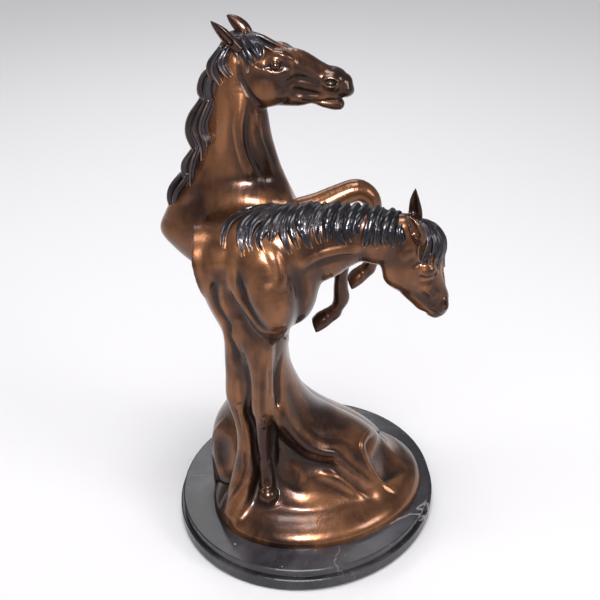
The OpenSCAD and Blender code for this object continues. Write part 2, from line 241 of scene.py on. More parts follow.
    def press(self, points, radius, height, fade=0.35):
        """Raises (or with a negative height presses in) a soft line along points of x, y, z."""
        fine = curve_through(points, 4)
        share = np.linspace(0, 1, len(fine))
        ends = np.clip(np.minimum(share, 1 - share) / max(fade, 1e-3), 0, 1)
        ends = ends * ends * (3 - 2 * ends)
        local = self.window(fine.min(0) - radius, fine.max(0) + radius)
        if local is None:
            return
        cut, *_ = local
        best = np.full([s.stop - s.start for s in cut], 1e6, np.float32)
        gain = np.zeros_like(best)
        for i in range(len(fine) - 1):
            a, b = fine[i], fine[i + 1]
            near = self.window(np.minimum(a, b) - radius, np.maximum(a, b) + radius, cut)
            if near is None:
                continue
            sub, x, y, z = near
            along = b - a
            length2 = max(along @ along, 1e-9)
            dx, dy, dz = x - np.float32(a[0]), y - np.float32(a[1]), z - np.float32(a[2])
            t = np.clip((dx * along[0] + dy * along[1] + dz * along[2]) / length2, 0, 1).astype(np.float32)
            r2 = (dx - t * along[0]) ** 2 + (dy - t * along[1]) ** 2 + (dz - t * along[2]) ** 2
            place = tuple(slice(s.start - c.start, s.stop - c.start) for s, c in zip(sub, cut))
            old, level = best[place], gain[place]
            closer = r2 < old
            best[place] = np.where(closer, r2, old)
            gain[place] = np.where(closer, ends[i] + t * (ends[i + 1] - ends[i]), level)
        fall = np.clip(1 - best / radius ** 2, 0, 1) ** 2
        self.d[cut] -= (height * gain * fall).astype(np.float32)

    def seat(self, points, side=-1):
        """Points of x, z moved along Y onto the skin, on the near side (-1) or the far side (+1)."""
        out = []
        for px, pz in points:
            i, k = ((px - self.low[0]) / self.step, (pz - self.low[2]) / self.step)
            i0, k0 = (int(np.clip(math.floor(v), 0, n - 2)) for v, n in ((i, self.count[0]),
                (k, self.count[2])))
            fi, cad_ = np.clip(i - i0, 0, 1), np.clip(k - k0, 0, 1)
            column = ((self.d[i0, :, k0] * (1 - fi) + self.d[i0 + 1, :, k0] * fi) * (1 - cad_)
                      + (self.d[i0, :, k0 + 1] * (1 - fi) + self.d[i0 + 1, :, k0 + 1] * fi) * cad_)
            if side > 0:
                column = column[::-1]
            inside = np.nonzero(column < 0)[0]
            j = float(inside[0]) if len(inside) else float(np.argmin(column))
            if len(inside) and inside[0] > 0:
                a, b = column[inside[0] - 1], column[inside[0]]
                j = inside[0] - 1 + a / (a - b)
            if side > 0:
                j = self.count[1] - 1 - j
            out.append((px, self.low[1] + self.step * j, pz))
        return out

    def stroke(self, points, radius, height, side=-1, fade=0.35):
        """Presses a soft line given by its x and z onto the near or far side."""
        self.press(self.seat(points, side), radius, height, fade)

    def seen(self, points):
        """Points of x, z on the front horse's plane, moved onto the skin along the sight line from EYE."""
        out = []
        depths = np.arange(self.low[1], self.low[1] + self.step * self.count[1], self.step * 0.4)
        for x, z in points:
            sight = np.array([x, FRONT_PLANE, z]) - EYE
            places = EYE + np.outer((depths - EYE[1]) / sight[1], sight)
            field = self.sample(places)
            inside = np.nonzero(field < 0)[0]
            out.append(places[inside[0] if len(inside) else int(np.argmin(field))])
        return out

    def draw(self, points, radius, height, fade=0.35):
        """Presses a soft line given by how it looks from EYE."""
        self.press(self.seen(points), radius, height, fade)

    def sample(self, places, field=None):
        """The distance at each place, between the block's points."""
        field = self.d if field is None else field
        q = (places - self.low) / self.step
        i = np.clip(np.floor(q).astype(int), 0, self.count - 2)
        f = np.clip(q - i, 0, 1)
        out = 0.0
        for cx in (0, 1):
            for cy in (0, 1):
                for cz in (0, 1):
                    share = ((f[:, 0] if cx else 1 - f[:, 0]) * (f[:, 1] if cy else 1 - f[:, 1])
                             * (f[:, 2] if cz else 1 - f[:, 2]))
                    out = out + share * field[i[:, 0] + cx, i[:, 1] + cy, i[:, 2] + cz]
        return out

    def gradient(self, places):
        e = self.step * 0.6
        return np.stack([(self.sample(places + e * axis) - self.sample(places - e * axis)) / (2 * e)
                         for axis in np.eye(3)], axis=1)


def turned(angles):
    """Rotation matrix for three angles in degrees, about X, then Y, then Z."""
    a, b, c = (math.radians(v) for v in angles)
    rx = np.array([[1, 0, 0], [0, math.cos(a), -math.sin(a)], [0, math.sin(a), math.cos(a)]])
    ry = np.array([[math.cos(b), 0, math.sin(b)], [0, 1, 0], [-math.sin(b), 0, math.cos(b)]])
    rz = np.array([[math.cos(c), -math.sin(c), 0], [math.sin(c), math.cos(c), 0], [0, 0, 1]])
    return rz @ ry @ rx


def blurred(field, reach):
    """The field averaged over a box, twice, for reading broad hollows and ridges."""
    out = field.astype(np.float32)
    for _ in range(2):
        for axis in range(3):
            n = out.shape[axis]
            lead = np.cumsum(np.pad(out, [(reach + 1, reach) if a == axis else (0, 0) for a in range(3)],
                                    mode="edge"), axis=axis, dtype=np.float64)
            take = [slice(None)] * 3
            take[axis] = slice(2 * reach + 1, 2 * reach + 1 + n)
            drop = [slice(None)] * 3
            drop[axis] = slice(0, n)
            out = ((lead[tuple(take)] - lead[tuple(drop)]) / (2 * reach + 1)).astype(np.float32)
    return out


def skin(clay):
    """Surface nets: one point in each cell that the surface crosses, one face for each crossed edge."""
    d = clay.d
    cells = np.array(d.shape) - 1
    keys_all, place_all, edges = [], [], []
    for axis in range(3):
        a = [slice(None)] * 3
        b = [slice(None)] * 3
        a[axis] = slice(0, -1)
        b[axis] = slice(1, None)
        da, db = d[tuple(a)], d[tuple(b)]
        i, j, k = np.nonzero((da < 0) != (db < 0))
        start = np.stack([i, j, k], axis=1)
        va = da[i, j, k]
        vb = db[i, j, k]
        t = va / (va - vb)
        cross = start.astype(float)
        cross[:, axis] += t
        o1, o2 = [(1, 2), (2, 0), (0, 1)][axis]
        inner = np.all((start[:, [o1, o2]] > 0) & (start[:, [o1, o2]] < cells[[o1, o2]]), axis=1)
        corners = []
        for s1, s2 in ((-1, -1), (0, -1), (0, 0), (-1, 0)):
            cell = start.copy()
            cell[:, o1] += s1
            cell[:, o2] += s2
            cell = np.clip(cell, 0, cells - 1)
            key = (cell[:, 0] * cells[1] + cell[:, 1]) * cells[2] + cell[:, 2]
            keys_all.append(key)
            place_all.append(cross)
            corners.append(key)
        quad = np.stack(corners, axis=1)[inner]
        flip = (va >= 0)[inner]
        quad[flip] = quad[flip][:, ::-1]
        edges.append(quad)
    keys = np.concatenate(keys_all)
    places = np.concatenate(place_all)
    unique, inverse = np.unique(keys, return_inverse=True)
    total = np.bincount(inverse, minlength=len(unique)).astype(float)
    points = np.stack([np.bincount(inverse, places[:, c], len(unique)) / total for c in range(3)], axis=1)
    points = clay.low + clay.step * points
    quads = np.searchsorted(unique, np.concatenate(edges))
    for _ in range(3):
        g = clay.gradient(points)
        size2 = np.maximum((g ** 2).sum(1), 0.05)
        move = -(clay.sample(points) / size2)[:, None] * g
        reach = np.maximum(np.linalg.norm(move, axis=1), 1e-9)
        points += move * np.minimum(1, 0.5 * clay.step / reach)[:, None]
    return points, quads


# ---------------------------------------------------------------- from clay to pieces

def mesh_piece(name, clay, cuts=()):
    """A smooth closed mesh, trimmed by planes of (point, outward normal), or inside a box if given."""
    points, quads = skin(clay)
    mesh = bpy.data.meshes.new(name)
    mesh.from_pydata(points.tolist(), [], quads.tolist())
    bm = bmesh.new()
    bm.from_mesh(mesh)
    keep_largest(bm)
    for place, outward, *box in cuts:
        faces = bm.faces[:]
        if box:
            low, high = box
            faces = [f for f in faces
                     if all(low[i] < f.calc_center_median()[i] < high[i] for i in range(3))]
        geometry = (list({v for f in faces for v in f.verts})
                    + list({g for f in faces for g in f.edges}) + faces)
        bmesh.ops.bisect_plane(bm, geom=geometry, plane_co=place, plane_no=outward, clear_outer=True,
            dist=1e-4)
        open_edges = [e for e in bm.edges if e.is_boundary]
        if open_edges:
            made = bmesh.ops.holes_fill(bm, edges=open_edges, sides=0)["faces"]
            for face in made:
                face.material_index = CAP
    keep_largest(bm)
    bmesh.ops.recalc_face_normals(bm, faces=bm.faces[:])
    bm.to_mesh(mesh)
    bm.free()
    finish_mesh(mesh, clay)
    piece = bpy.data.objects.new(name, mesh)
    bpy.context.scene.collection.objects.link(piece)
    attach(piece, "root")
    return piece


def keep_largest(bm):
    """Drops every loose shell but the largest."""
    bm.verts.ensure_lookup_table()
    seen = np.zeros(len(bm.verts), bool)
    bm.verts.index_update()
    shells = []
    for seed in bm.verts:
        if seen[seed.index]:
            continue
        seen[seed.index] = True
        shell, queue = [seed], [seed]
        while queue:
            for edge in queue.pop().link_edges:
                for vert in edge.verts:
                    if not seen[vert.index]:
                        seen[vert.index] = True
                        shell.append(vert)
                        queue.append(vert)
        shells.append(shell)
    shells.sort(key=len, reverse=True)
    for shell in shells[1:]:
        bmesh.ops.delete(bm, geom=shell, context="VERTS")


def finish_mesh(mesh, clay):
    """Normals and wear read from the clay, then millimetres to metres."""
    count = len(mesh.vertices)
    places = np.empty(count * 3, np.float32)
    mesh.vertices.foreach_get("co", places)
    places = places.reshape(-1, 3).astype(float)
    g = clay.gradient(places)
    normals = g / np.maximum(np.linalg.norm(g, axis=1), 1e-6)[:, None]
    for name, size in WEAR_SIZES:
        reach = max(1, round(size / clay.step))
        spread = 2 * ((2 * reach + 1) ** 2 - 1) / 12 * clay.step ** 2
        bend = clay.sample(places, blurred(np.clip(clay.d, -16, 16), reach)) * 2 / spread
        wear = mesh.attributes.new(name, "FLOAT", "POINT")
        wear.data.foreach_set("value", np.clip(bend, -2, 2).astype(np.float32))
    mesh.vertices.foreach_set("co", (places * UNIT).astype(np.float32).ravel())
    mesh.polygons.foreach_set("use_smooth", np.ones(len(mesh.polygons), bool))
    corner_vertex = np.empty(len(mesh.loops), np.int32)
    mesh.loops.foreach_get("vertex_index", corner_vertex)
    corner_normal = normals[corner_vertex]
    for face in mesh.polygons:
        if face.material_index == CAP:
            corner_normal[face.loop_start:face.loop_start + face.loop_total] = face.normal
    mesh.polygons.foreach_set("material_index", np.zeros(len(mesh.polygons), np.int32))
    mesh.update()
    mesh.normals_split_custom_set(corner_normal.tolist())


# ---------------------------------------------------------------- features that both horses share

def both_sides(plane, rows):
    """Rows of x, distance from the head's middle plane, z: for the near side, then for the far side."""
    for side in (-1, 1):
        yield side, [(x, plane + side * out, z) for x, out, z in rows]


def tube(points, *radii):
    """Rows for a round limb along points, its radius running through the given values."""
    share = np.linspace(0, 1, len(points))
    size = np.interp(share, np.linspace(0, 1, len(radii)), radii)
    return [(*p, r, r) for p, r in zip(points, size)]


def ring(clay, centre, reach, radius, side, turn=0.0):
    """A raised oval rim on the skin and the hollow inside it, by centre and half sizes in x and z."""
    a = np.radians(turn)
    loop = []
    for t in np.radians(np.arange(0, 361, 30)):
        u, v = reach[0] * math.cos(t), reach[1] * math.sin(t)
        loop.append((centre[0] + u * math.cos(a) - v * math.sin(a),
            centre[1] + u * math.sin(a) + v * math.cos(a)))
    seated = clay.seat(loop, side)
    middle = clay.seat([centre], side)[0]
    clay.press(seated, radius * 3.0, radius * 1.1, fade=0)
    clay.ball(middle, (reach[0] - 0.8, 3.6, reach[1] - 0.8), (0, -turn, 0), blend=1.2, dig=True)


def strands(clay, path, count, spread, thick, seed, blend=0.8, across=(0, 1, 0), relief=0.0):
    """A lock of hair: tapering strands laid side by side along a path of x, y, z."""
    rng = np.random.default_rng(seed)
    path = np.array(path, float)
    across = np.array(across, float)
    for k in range(count):
        place = (k - (count - 1) / 2) * spread
        wander = rng.uniform(-0.35, 0.35, len(path)) * spread
        wander[0] *= 0.4
        points = path + np.outer(place * np.linspace(1.0, 0.55, len(path)) + wander, across)
        cut = 1 - rng.uniform(0.0, 0.12)
        points[-1] = points[-2] + (points[-1] - points[-2]) * cut
        points[:, 1] += rng.uniform(-relief, relief)
        size = thick * rng.uniform(0.85, 1.15)
        clay.limb(tube(points, size * 0.7, size, size * 1.05, size * 0.85, size * 0.35),
            blend=blend, steps=3)


# ---------------------------------------------------------------- the front horse

FRONT_MASS = [
    (15, -15, 20, 141, 110, 25),
    (15, -15, 32, 142, 110, 25),
    (14, -15, 40, 140, 108, 25),
    (14, -15, 47, 135, 101, 24),
    (13, -14, 54, 127, 90, 23),
    (12, -14, 61, 116, 79, 21),
    (10, -14, 70, 106, 71, 19),
    (9, -13, 86, 94, 62, 16),
    (6, -13, 104, 84, 56, 13),
    (-3, -15, 122, 75, 51, 9),
    (-17, -18, 142, 62, 49, 5),
    (-32, -21, 165, 47, 47, 2),
    (-50, -24, 200, 42, 46, 0),
    (-60, -26, 250, 36, 44, 0),
    (-61, -29, 300, 42, 41, 0),
    (-60, -32, 335, 57, 38, 0),
    (-60, -34, 370, 66, 37, 0),
    (-60, -36, 395, 68, 37, 0),
    (-61, -36, 412, 64, 34, 0),
]
FRONT_BARREL = [(-152, -36, 385, 42, 38), (-110, -36, 386, 42, 38), (-70, -36, 390, 43, 38),
    (-30, -36, 396, 40, 35)]
FRONT_EDGE = [
    (-107, -36, 392, 20, 34),
    (-107, -36, 382, 20, 35),
    (-104, -36, 355, 18, 33),
    (-96, -36, 328, 17, 30),
    (-86, -35, 304, 16, 27),
    (-78, -33, 282, 16, 25),
    (-75, -30, 258, 17, 24),
]
FRONT_NECK = [
    (-70, -38, 396, 38, 36),
    (-45, -38, 398, 41, 36),
    (-15, -37, 401, 44, 33),
    (10, -36, 404, 45, 28),
    (35, -36, 411, 37, 24),
    (58, -36, 414, 31, 20.5),
    (80, -36, 410, 31, 20),
    (98, -36, 403, 28, 19),
]
FRONT_HEAD = [
    (104, -36, 426, 15, 14),
    (109, -36, 408, 27, 18.5),
    (114, -36, 390, 31, 20.5),
    (119, -36, 373, 32, 20.5),
    (127, -36, 356, 27, 18),
    (136, -36, 341, 22.5, 15.5),
    (143, -36, 330, 19.5, 14.5),
    (147, -36, 322, 14, 12.5),
]
FRONT_NEAR_LEG = [
    (-62, -60, 322, 24, 14),
    (-61, -63, 300, 22, 16),
    (-57, -66, 275, 17, 15),
    (-55, -68, 245, 14, 13),
    (-55, -70, 218, 13, 12.5),
    (-55, -70, 200, 12.5, 12),
    (-55, -69, 183, 9, 10),
    (-55, -68, 150, 7.5, 9),
    (-53, -68, 115, 7, 9),
    (-51, -70, 98, 8, 9),
    (-50, -74, 84, 9, 9.5),
]
FRONT_FAR_LEG = [
    (-80, -56, 300, 16, 12),
    (-84, -52, 265, 14, 12),
    (-86, -50, 235, 12.5, 12),
    (-86, -50, 205, 13, 13),
    (-82, -50, 176, 10, 11),
    (-76, -52, 145, 8.5, 10),
    (-72, -54, 112, 8.5, 10),
    (-72, -56, 90, 10, 11),
]
FRONT_FAR_SKIRT = [
    (-76, -46, 160, 9, 12),
    (-76, -54, 125, 12, 14),
    (-80, -62, 92, 15, 17),
    (-86, -72, 66, 16, 19),
    (-92, -80, 46, 14, 19),
]


def front_bulk(clay):
    """The front casting's torso, foot, legs and neck, without their detail."""
    clay.stack(FRONT_MASS, crown=26)
    clay.limb(FRONT_EDGE, blend=9)
    clay.limb(FRONT_BARREL, blend=8)
    clay.trim((-127.5, 0, 400), (-1, 0, 0), (-200, -120, 330), (-60, 60, 462))
    clay.trim((-127.5, 0, 398), (-0.985, 0, -0.17), (-200, -120, 318), (-60, 60, 398))
    clay.limb(FRONT_NEAR_LEG, blend=5)
    clay.limb(FRONT_FAR_LEG, blend=8)
    clay.limb(FRONT_FAR_SKIRT, blend=10)
    clay.limb(FRONT_NECK, blend=14)


def front_shoulder(clay):
    """The shoulder, its groove and band, the chest and the arris along the back edge."""
    clay.ball((-15, -38, 346), (25, 30, 42), (0, 6, 0), blend=14)
    clay.ball((-46, -60, 362), (33, 31, 60), (0, -8, 0), blend=8)
    clay.limb([(-50, -52, 404, 14, 14), (-46, -65, 382, 16, 16), (-42, -74, 356, 20, 20),
        (-41, -74, 334, 20, 20),
               (-40, -64, 312, 14, 14)], blend=14)
    for line, radius, height in (
            ([(-84, 392), (-85, 376), (-86, 362), (-85, 349), (-81, 336), (-76, 325), (-71, 313),
             (-65, 300)], 10, 3.4),
            ([(-81, 392), (-80, 372), (-78, 352), (-73, 335), (-66, 317), (-58, 302), (-50, 291),
             (-41, 286), (-30, 286)],
             11, -2.0),
            ([(-81, 386), (-80, 370), (-78, 351), (-73, 335), (-66, 317), (-58, 302), (-50, 292),
             (-43, 288)], 5, -1.6),
            ([(-60, 380), (-53, 362), (-48, 344)], 12, -1.4),
            ([(-47, 406), (-40, 390), (-34, 372), (-32, 356), (-34, 338)], 10, 3.2),
            ([(-22, 380), (-16, 366), (-11, 352), (-8, 338), (-9, 324)], 12, -1.8),
            ([(-18, 371), (-4, 380), (13, 389), (34, 395), (56, 397), (78, 392)], 8, 2.0),
            ([(-14, 363), (0, 373), (16, 381), (36, 386), (58, 387)], 7, -1.5),
            ([(-104, 405), (-104, 385), (-100, 366)], 16, 1.6),
            ([(-44, 297), (-34, 296), (-27, 300)], 6, 1.4),
            ([(-30, 284), (-24, 278), (-22, 268)], 5, 1.2),
    ):
        clay.draw(line, radius, height)
    edge = [(-100, 362), (-102, 348), (-102, 335), (-100, 322), (-95, 310), (-90, 300), (-89, 290),
        (-89, 280),
            (-84, 267), (-80, 251), (-77, 236)]
    clay.draw([(x - 5, z) for x, z in edge], 8, -4.5, fade=0.15)
    clay.draw([(x + 1, z) for x, z in edge], 3.6, 2.2, fade=0.15)


def front_legs(clay):
    """Grooves that lift the legs off the drapery, and the knees."""
    for line, radius, height in (
            ([(-76, 250), (-73, 225), (-72, 200), (-74, 178), (-75, 166), (-70, 150), (-68, 122),
             (-67, 95), (-66, 72)],
             5.5, -3.8),
            ([(-32, 262), (-35, 240), (-38, 215), (-39, 190), (-39, 170), (-41, 150), (-42, 125),
             (-42, 100), (-41, 80)],
             6, -4.0),
            ([(-52, 250), (-54, 225), (-55, 195), (-56, 172), (-55, 158)], 6, 1.6),
            ([(-47, 235), (-46, 210), (-48, 188)], 5, -1.2),
            ([(-56, 160), (-56, 150), (-54, 142)], 6, 1.2),
            ([(-53, 140), (-54, 115), (-54, 90), (-54, 66)], 4, 1.2),
            ([(-88, 225), (-88, 200), (-87, 180)], 8, 1.8),
            ([(-84, 172), (-80, 150), (-77, 120), (-76, 96)], 5, 1.4),
            ([(-92, 180), (-87, 160), (-84, 136)], 5, -1.8),
    ):
        clay.draw(line, radius, height, fade=0.2)


def front_hoof(clay):
    """The round hoof in its bowl, and the lip of the cushion under it."""
    clay.ball((-50, -100, 92), (18, 15, 15), blend=14, dig=True)
    clay.limb(tube([(-53, -68, 118), (-52, -72, 100), (-51, -77, 88)], 8, 7.5, 8), blend=3)
    clay.ball((-50, -84, 76), (13, 13, 13), blend=0.8)
    clay.draw([(-70, 30), (-62, 18), (-51, 12), (-40, 15), (-32, 24)], 5, 1.8, fade=0.4)


def front_drapery(clay):
    """The folds that sweep down over the foot and the shallow dish at its right-hand end."""
    for line, radius, height in (
            ([(-44, 215), (-40, 190), (-34, 165), (-26, 147), (-17, 132), (-8, 122), (3, 112), (18, 105),
             (34, 101),
              (42, 93), (51, 81), (64, 69), (78, 55), (92, 40), (106, 26)], 20, 9.0),
            ([(-42, 205), (-38, 180), (-32, 160), (-25, 145), (-17, 132), (-8, 121), (3, 111), (18, 104),
             (33, 102),
              (40, 96), (46, 88), (56, 77), (68, 66), (80, 54), (92, 42)], 7, 3.0),
            ([(-40, 150), (-30, 128), (-18, 106), (-4, 90), (12, 82), (30, 80), (42, 70)], 16, -3.2),
            ([(86, 116), (98, 94), (106, 74), (114, 58)], 32, -7.0),
            ([(90, 150), (78, 136), (70, 124), (69, 110), (74, 92), (84, 71), (95, 54), (108, 42),
             (122, 34)], 6, 3.0),
            ([(-79, 110), (-80, 92), (-80, 76), (-85, 56), (-97, 32), (-110, 10)], 5, 2.4),
    ):
        clay.draw(line, radius, height, fade=0.18)
    clay.draw([(-44, 110), (-35, 86), (-22, 68), (-8, 54), (8, 44), (26, 37), (44, 30)], 17, 2.8, fade=0.6)
    clay.draw([(-52, 32), (-36, 30), (-18, 24), (4, 21), (30, 24), (52, 34)], 13, 2.0, fade=0.6)
    middle = [(-2, 77), (10, 72), (22, 67), (34, 61), (45, 53), (56, 42), (68, 29), (82, 16)]
    clay.draw(middle, 13, 4.2, fade=0.5)
    clay.draw(middle[1:], 6, 1.8, fade=0.4)


# ---------------------------------------------------------------- the front horse's head and hair

def front_head(clay):
    """Cheek, lowered eyelid, nostril and mouth on each side, and the groove between the nostrils."""
    clay.limb(FRONT_HEAD, blend=9)
    for side in (-1, 1):
        clay.ball((105, FRONT_PLANE + side * 7, 376), (23, 13, 25), (0, 0, 0), blend=6)
        clay.ball((129, FRONT_PLANE + side * 13, 381), (11, 9, 10), (0, 25, 0), blend=4)
        clay.ball((148, FRONT_PLANE + side * 4, 327), (12, 10, 10), blend=4)
        for line, radius, height in (
                ([(97, 394), (108, 402), (121, 408)], 10, 1.4),
                ([(117, 392), (121, 386)], 9, -1.2),
                ([(113, 393), (124, 397), (136, 394), (143, 386)], 7, 1.2),
                ([(82, 372), (86, 362), (95, 352), (106, 343)], 5, 1.2),
                ([(111, 350), (122, 346), (131, 339), (141, 332), (150, 328)], 7, -1.4),
                ([(128, 362), (138, 350), (147, 341)], 8, 1.8),
                ([(124, 356), (131, 347), (139, 340)], 5, -1.0),
                ([(156, 318), (148, 320), (139, 326), (131, 334)], 2.8, -1.3),
                ([(152, 310), (143, 315), (134, 323)], 4, 1.0),
                ([(144, 396), (150, 380), (155, 362), (159, 348)], 4, 1.0),
        ):
            clay.stroke(line, radius, height, side)
        lash = [(121, 376.5), (126, 374), (132, 373.2), (138, 374.8), (141, 377)]
        clay.stroke([(x, z + 4.5) for x, z in lash], 7, 1.5, side, fade=0.3)
        clay.stroke([(x - 0.5, z - 4.2) for x, z in lash], 3.6, 1.1, side)
        clay.stroke([(x - 1, z - 9.5) for x, z in lash], 5, -0.6, side)
        clay.stroke(lash, 2.4, -1.9, side, fade=0.2)
        clay.stroke([(122, 388), (130, 391), (139, 387)], 3.6, -1.0, side)
        clay.stroke([(139, 375), (143, 372)], 3.4, -1.3, side, fade=0.6)
        ring(clay, (155.5, 331.5), (3.2, 6.0), 1.3, side, turn=8)
    clay.press([(157, FRONT_PLANE, 338), (159, FRONT_PLANE, 328), (156, FRONT_PLANE, 320)], 3.5, -1.2)


def ear(clay, spine, half_long, half_thin, opening, scoop=0.62):
    """A cupped leaf: sections along its spine, scooped out on the side that the opening faces."""
    opening = np.array(opening, float)
    opening /= np.linalg.norm(opening)
    spine = np.array(spine, float)
    across = np.cross(spine[-1] - spine[0], opening)
    rows = [(*p, t, w) for p, w, t in zip(spine, half_long, half_thin)]
    clay.limb(rows, blend=0, across=across)
    inner = [(*(p + opening * t * 0.85 + (spine[-1] - spine[0]) * 0.05), t * 0.95, w * scoop)
             for p, w, t in zip(spine, half_long, half_thin)]
    clay.limb(inner[1:], blend=1.2, across=across, dig=True)


def hair_lock(clay, ground, line, count, spread, thick, lift, seed):
    """A lock on the ground's skin: strands side by side along a line as seen from EYE, fullest midway."""
    rng = np.random.default_rng(seed)
    line = curve_through(np.array(line, float), 3)
    step = np.gradient(line, axis=0)
    beside = np.stack([step[:, 1], -step[:, 0]], axis=1) / np.maximum(np.linalg.norm(step, axis=1),
        1e-6)[:, None]
    share = np.linspace(0, 1, len(line))
    swell = np.sin(np.pi * np.clip(share * 0.9 + 0.12, 0, 1)) ** 0.7
    for k in range(count):
        place = (k - (count - 1) / 2)
        wander = rng.uniform(-0.3, 0.3) + 0.35 * np.sin(share * rng.uniform(3, 6) + rng.uniform(0, 6))
        offset = (place + wander) * spread * (0.55 + 0.45 * swell)
        reach = len(line) - (k % 2) * int(rng.integers(0, 2))
        places = np.array(ground.seen(line[:reach] + beside[:reach] * offset[:reach, None]))
        slope = ground.gradient(places)
        slope /= np.maximum(np.linalg.norm(slope, axis=1), 1e-6)[:, None]
        raised = lift * swell[:reach] * (1.15 - 0.5 * abs(place) / max(count / 2, 1)) + rng.uniform(-1.0,
            1.0)
        size = thick * rng.uniform(0.8, 1.2)
        clay.limb(tube(places + slope * raised[:, None], size * 0.8, size * 1.1, size * 1.1, size,
            size * 0.5),
                  blend=0.4, steps=2)


def front_mane(clay, ground):
    """Locks from the crest of the neck down over the near side, and shorter ones behind."""
    locks = [
        [(-47, 448), (-67, 442), (-85, 431), (-94, 414), (-96, 398)],
        [(-40, 448), (-58, 438), (-72, 425), (-77, 409), (-74, 388)],
        [(-34, 448), (-49, 438), (-62, 426), (-67, 411), (-65, 394)],
        [(-26, 448), (-38, 436), (-50, 421), (-55, 407), (-51, 391)],
        [(-20, 449), (-31, 438), (-39, 426), (-42, 415), (-44, 405)],
        [(-15, 449), (-24, 437), (-29, 423), (-27, 408), (-21, 391)],
        [(-6, 450), (-14, 438), (-20, 426), (-18, 411), (-12, 397)],
        [(2, 450), (-6, 440), (-11, 430), (-10, 420), (-6, 410)],
        [(11, 451), (1, 441), (-5, 426), (-4, 411), (2, 398)],
        [(20, 452), (12, 442), (7, 427), (8, 413), (12, 403)],
        [(31, 451), (23, 441), (19, 428), (20, 416), (20, 407)],
        [(42, 450), (33, 438), (30, 425), (32, 412), (40, 402)],
        [(52, 450), (45, 438), (41, 426), (41, 416), (45, 406)],
        [(62, 449), (54, 437), (49, 426), (50, 419), (53, 412)],
        [(74, 447), (68, 435), (65, 422), (64, 410), (62, 399)],
        [(82, 445), (76, 433), (74, 421), (73, 409), (75, 398)],
        [(90, 443), (84, 431), (82, 419), (81, 409), (85, 401)],
        [(98, 441), (92, 430), (90, 419), (91, 409), (94, 399)],
        [(106, 438), (101, 428), (99, 419), (102, 410), (101, 402)],
    ]
    crest = [(-90, -30, 422), (-60, -30, 431), (-30, -31, 437), (0, -32, 443), (30, -33, 442),
        (60, -34, 440),
             (88, -34, 436), (106, -35, 429)]
    clay.limb([(*place, 5, 11) for place in crest], blend=3)
    for k, line in enumerate(locks):
        lift = 2.4 + 1.2 * ((k * 2) % 3)
        hair_lock(clay, ground, line[:4], 1, 1.0, 4.6, lift - 2.6, 20 + k)
        hair_lock(clay, ground, line, 4, 2.5, 1.45 + 0.15 * (k % 3), lift, 40 + k)
    rng = np.random.default_rng(7)
    x = -84.0
    while x < 108:
        top = np.interp(x, [p[0] for p in crest], [p[2] for p in crest]) + 3
        sway = rng.uniform(-4, 4)
        drop = rng.uniform(12, 22)
        path = [(x + 6, -36, top), (x + 2, -26, top - 1), (x - 3 + sway, -17, top - drop * 0.5),
                (x + sway, -12, top - drop)]
        strands(clay, path, 3, 3.2, 2.5, int(5000 + x * 10), across=(1, 0, 0))
        x += rng.uniform(8.0, 11.0)


def front_forelock(clay):
    """Hair that falls from between the ears over the forehead, crossing lock over lock."""
    clay.limb([(113, -36, 424, 8, 9), (127, -36, 418, 8, 12), (135, -36, 407, 7, 12.5),
        (139, -36, 395, 5, 11),
               (142, -36, 384, 3, 7)], blend=3)
    locks = [
        ([(118, 4, 430), (123, 12, 426), (122, 17, 418), (120, 20, 408), (121, 20.5, 398),
         (124, 21.5, 390)], 1.5),
        ([(120, 2, 431), (127, 9, 427), (130, 16, 417), (128, 19, 407), (125, 20, 396),
         (126, 20.5, 384)], 1.6),
        ([(121, 1, 432), (130, 6, 427), (137, 12, 416), (137, 16, 405), (132, 19, 394),
         (134, 19, 381)], 1.6),
        ([(122, 0, 432), (133, 3, 426), (141, 9, 414), (142.5, 13, 402), (139, 16, 390),
         (140, 15.5, 378)], 1.6),
        ([(123, 0, 432), (135, 1, 425), (143.5, 5, 412), (146.5, 8, 399), (143.5, 11, 386),
         (146, 10.5, 373)], 1.7),
        ([(123, 0, 432), (136, 0, 425), (145, 1, 410), (148, 3, 396), (147, 5, 383), (149, 3, 371)], 1.7),
        ([(125, 0, 430), (134, 6, 424), (140, 11, 412), (139, 15, 399), (143, 13.5, 385)], 1.4),
        ([(121, 5, 430), (128, 13, 422), (132, 16, 411), (130, 19, 400), (135, 18.5, 388)], 1.4),
    ]
    for side in (-1, 1):
        for k, (line, thick) in enumerate(locks):
            path = [(x + (0.8 if side > 0 else 0) * k, FRONT_PLANE + side * out, z) for x, out, z in line]
            strands(clay, path, 3, 2.4, thick, 70 + 10 * k + side, 0.4, (0.6, 0.6, 0.4), 0.6)


# ---------------------------------------------------------------- the rear horse

REAR_MASS = [
    (0, 18, 20, 128, 113, 24),
    (-1, 18, 34, 126, 111, 24),
    (-7, 20, 54, 120, 102, 20),
    (-20, 24, 78, 108, 88, 12),
    (-38, 28, 104, 85, 74, 8),
    (-47, 32, 130, 61, 60, 5),
    (-54, 34, 160, 44, 48, 2),
    (-58, 37, 200, 35, 42, 0),
    (-60, 40, 250, 36, 40, 0),
    (-62, 42, 300, 50, 42, 0),
    (-72, 44, 336, 63, 45, 0),
    (-82, 45, 360, 78, 47, 0),
    (-88, 45, 382, 88, 48, 0),
    (-88, 45, 402, 82, 47, 0),
    (-87, 45, 420, 73, 43, 0),
    (-84, 45, 438, 62, 38, 0),
    (-82, 45, 455, 53, 33, 0),
    (-80, 44, 470, 46, 30, 0),
    (-79, 44, 500, 37, 26, 0),
    (-79, 44, 530, 31, 23, 0),
    (-78, 44, 556, 20, 15, 0),
]
REAR_NECK = [
    (-79, 44, 500, 30, 20),
    (-79, 44, 530, 29, 21),
    (-78, 44, 560, 26, 20),
    (-76, 44, 585, 18, 15),
]
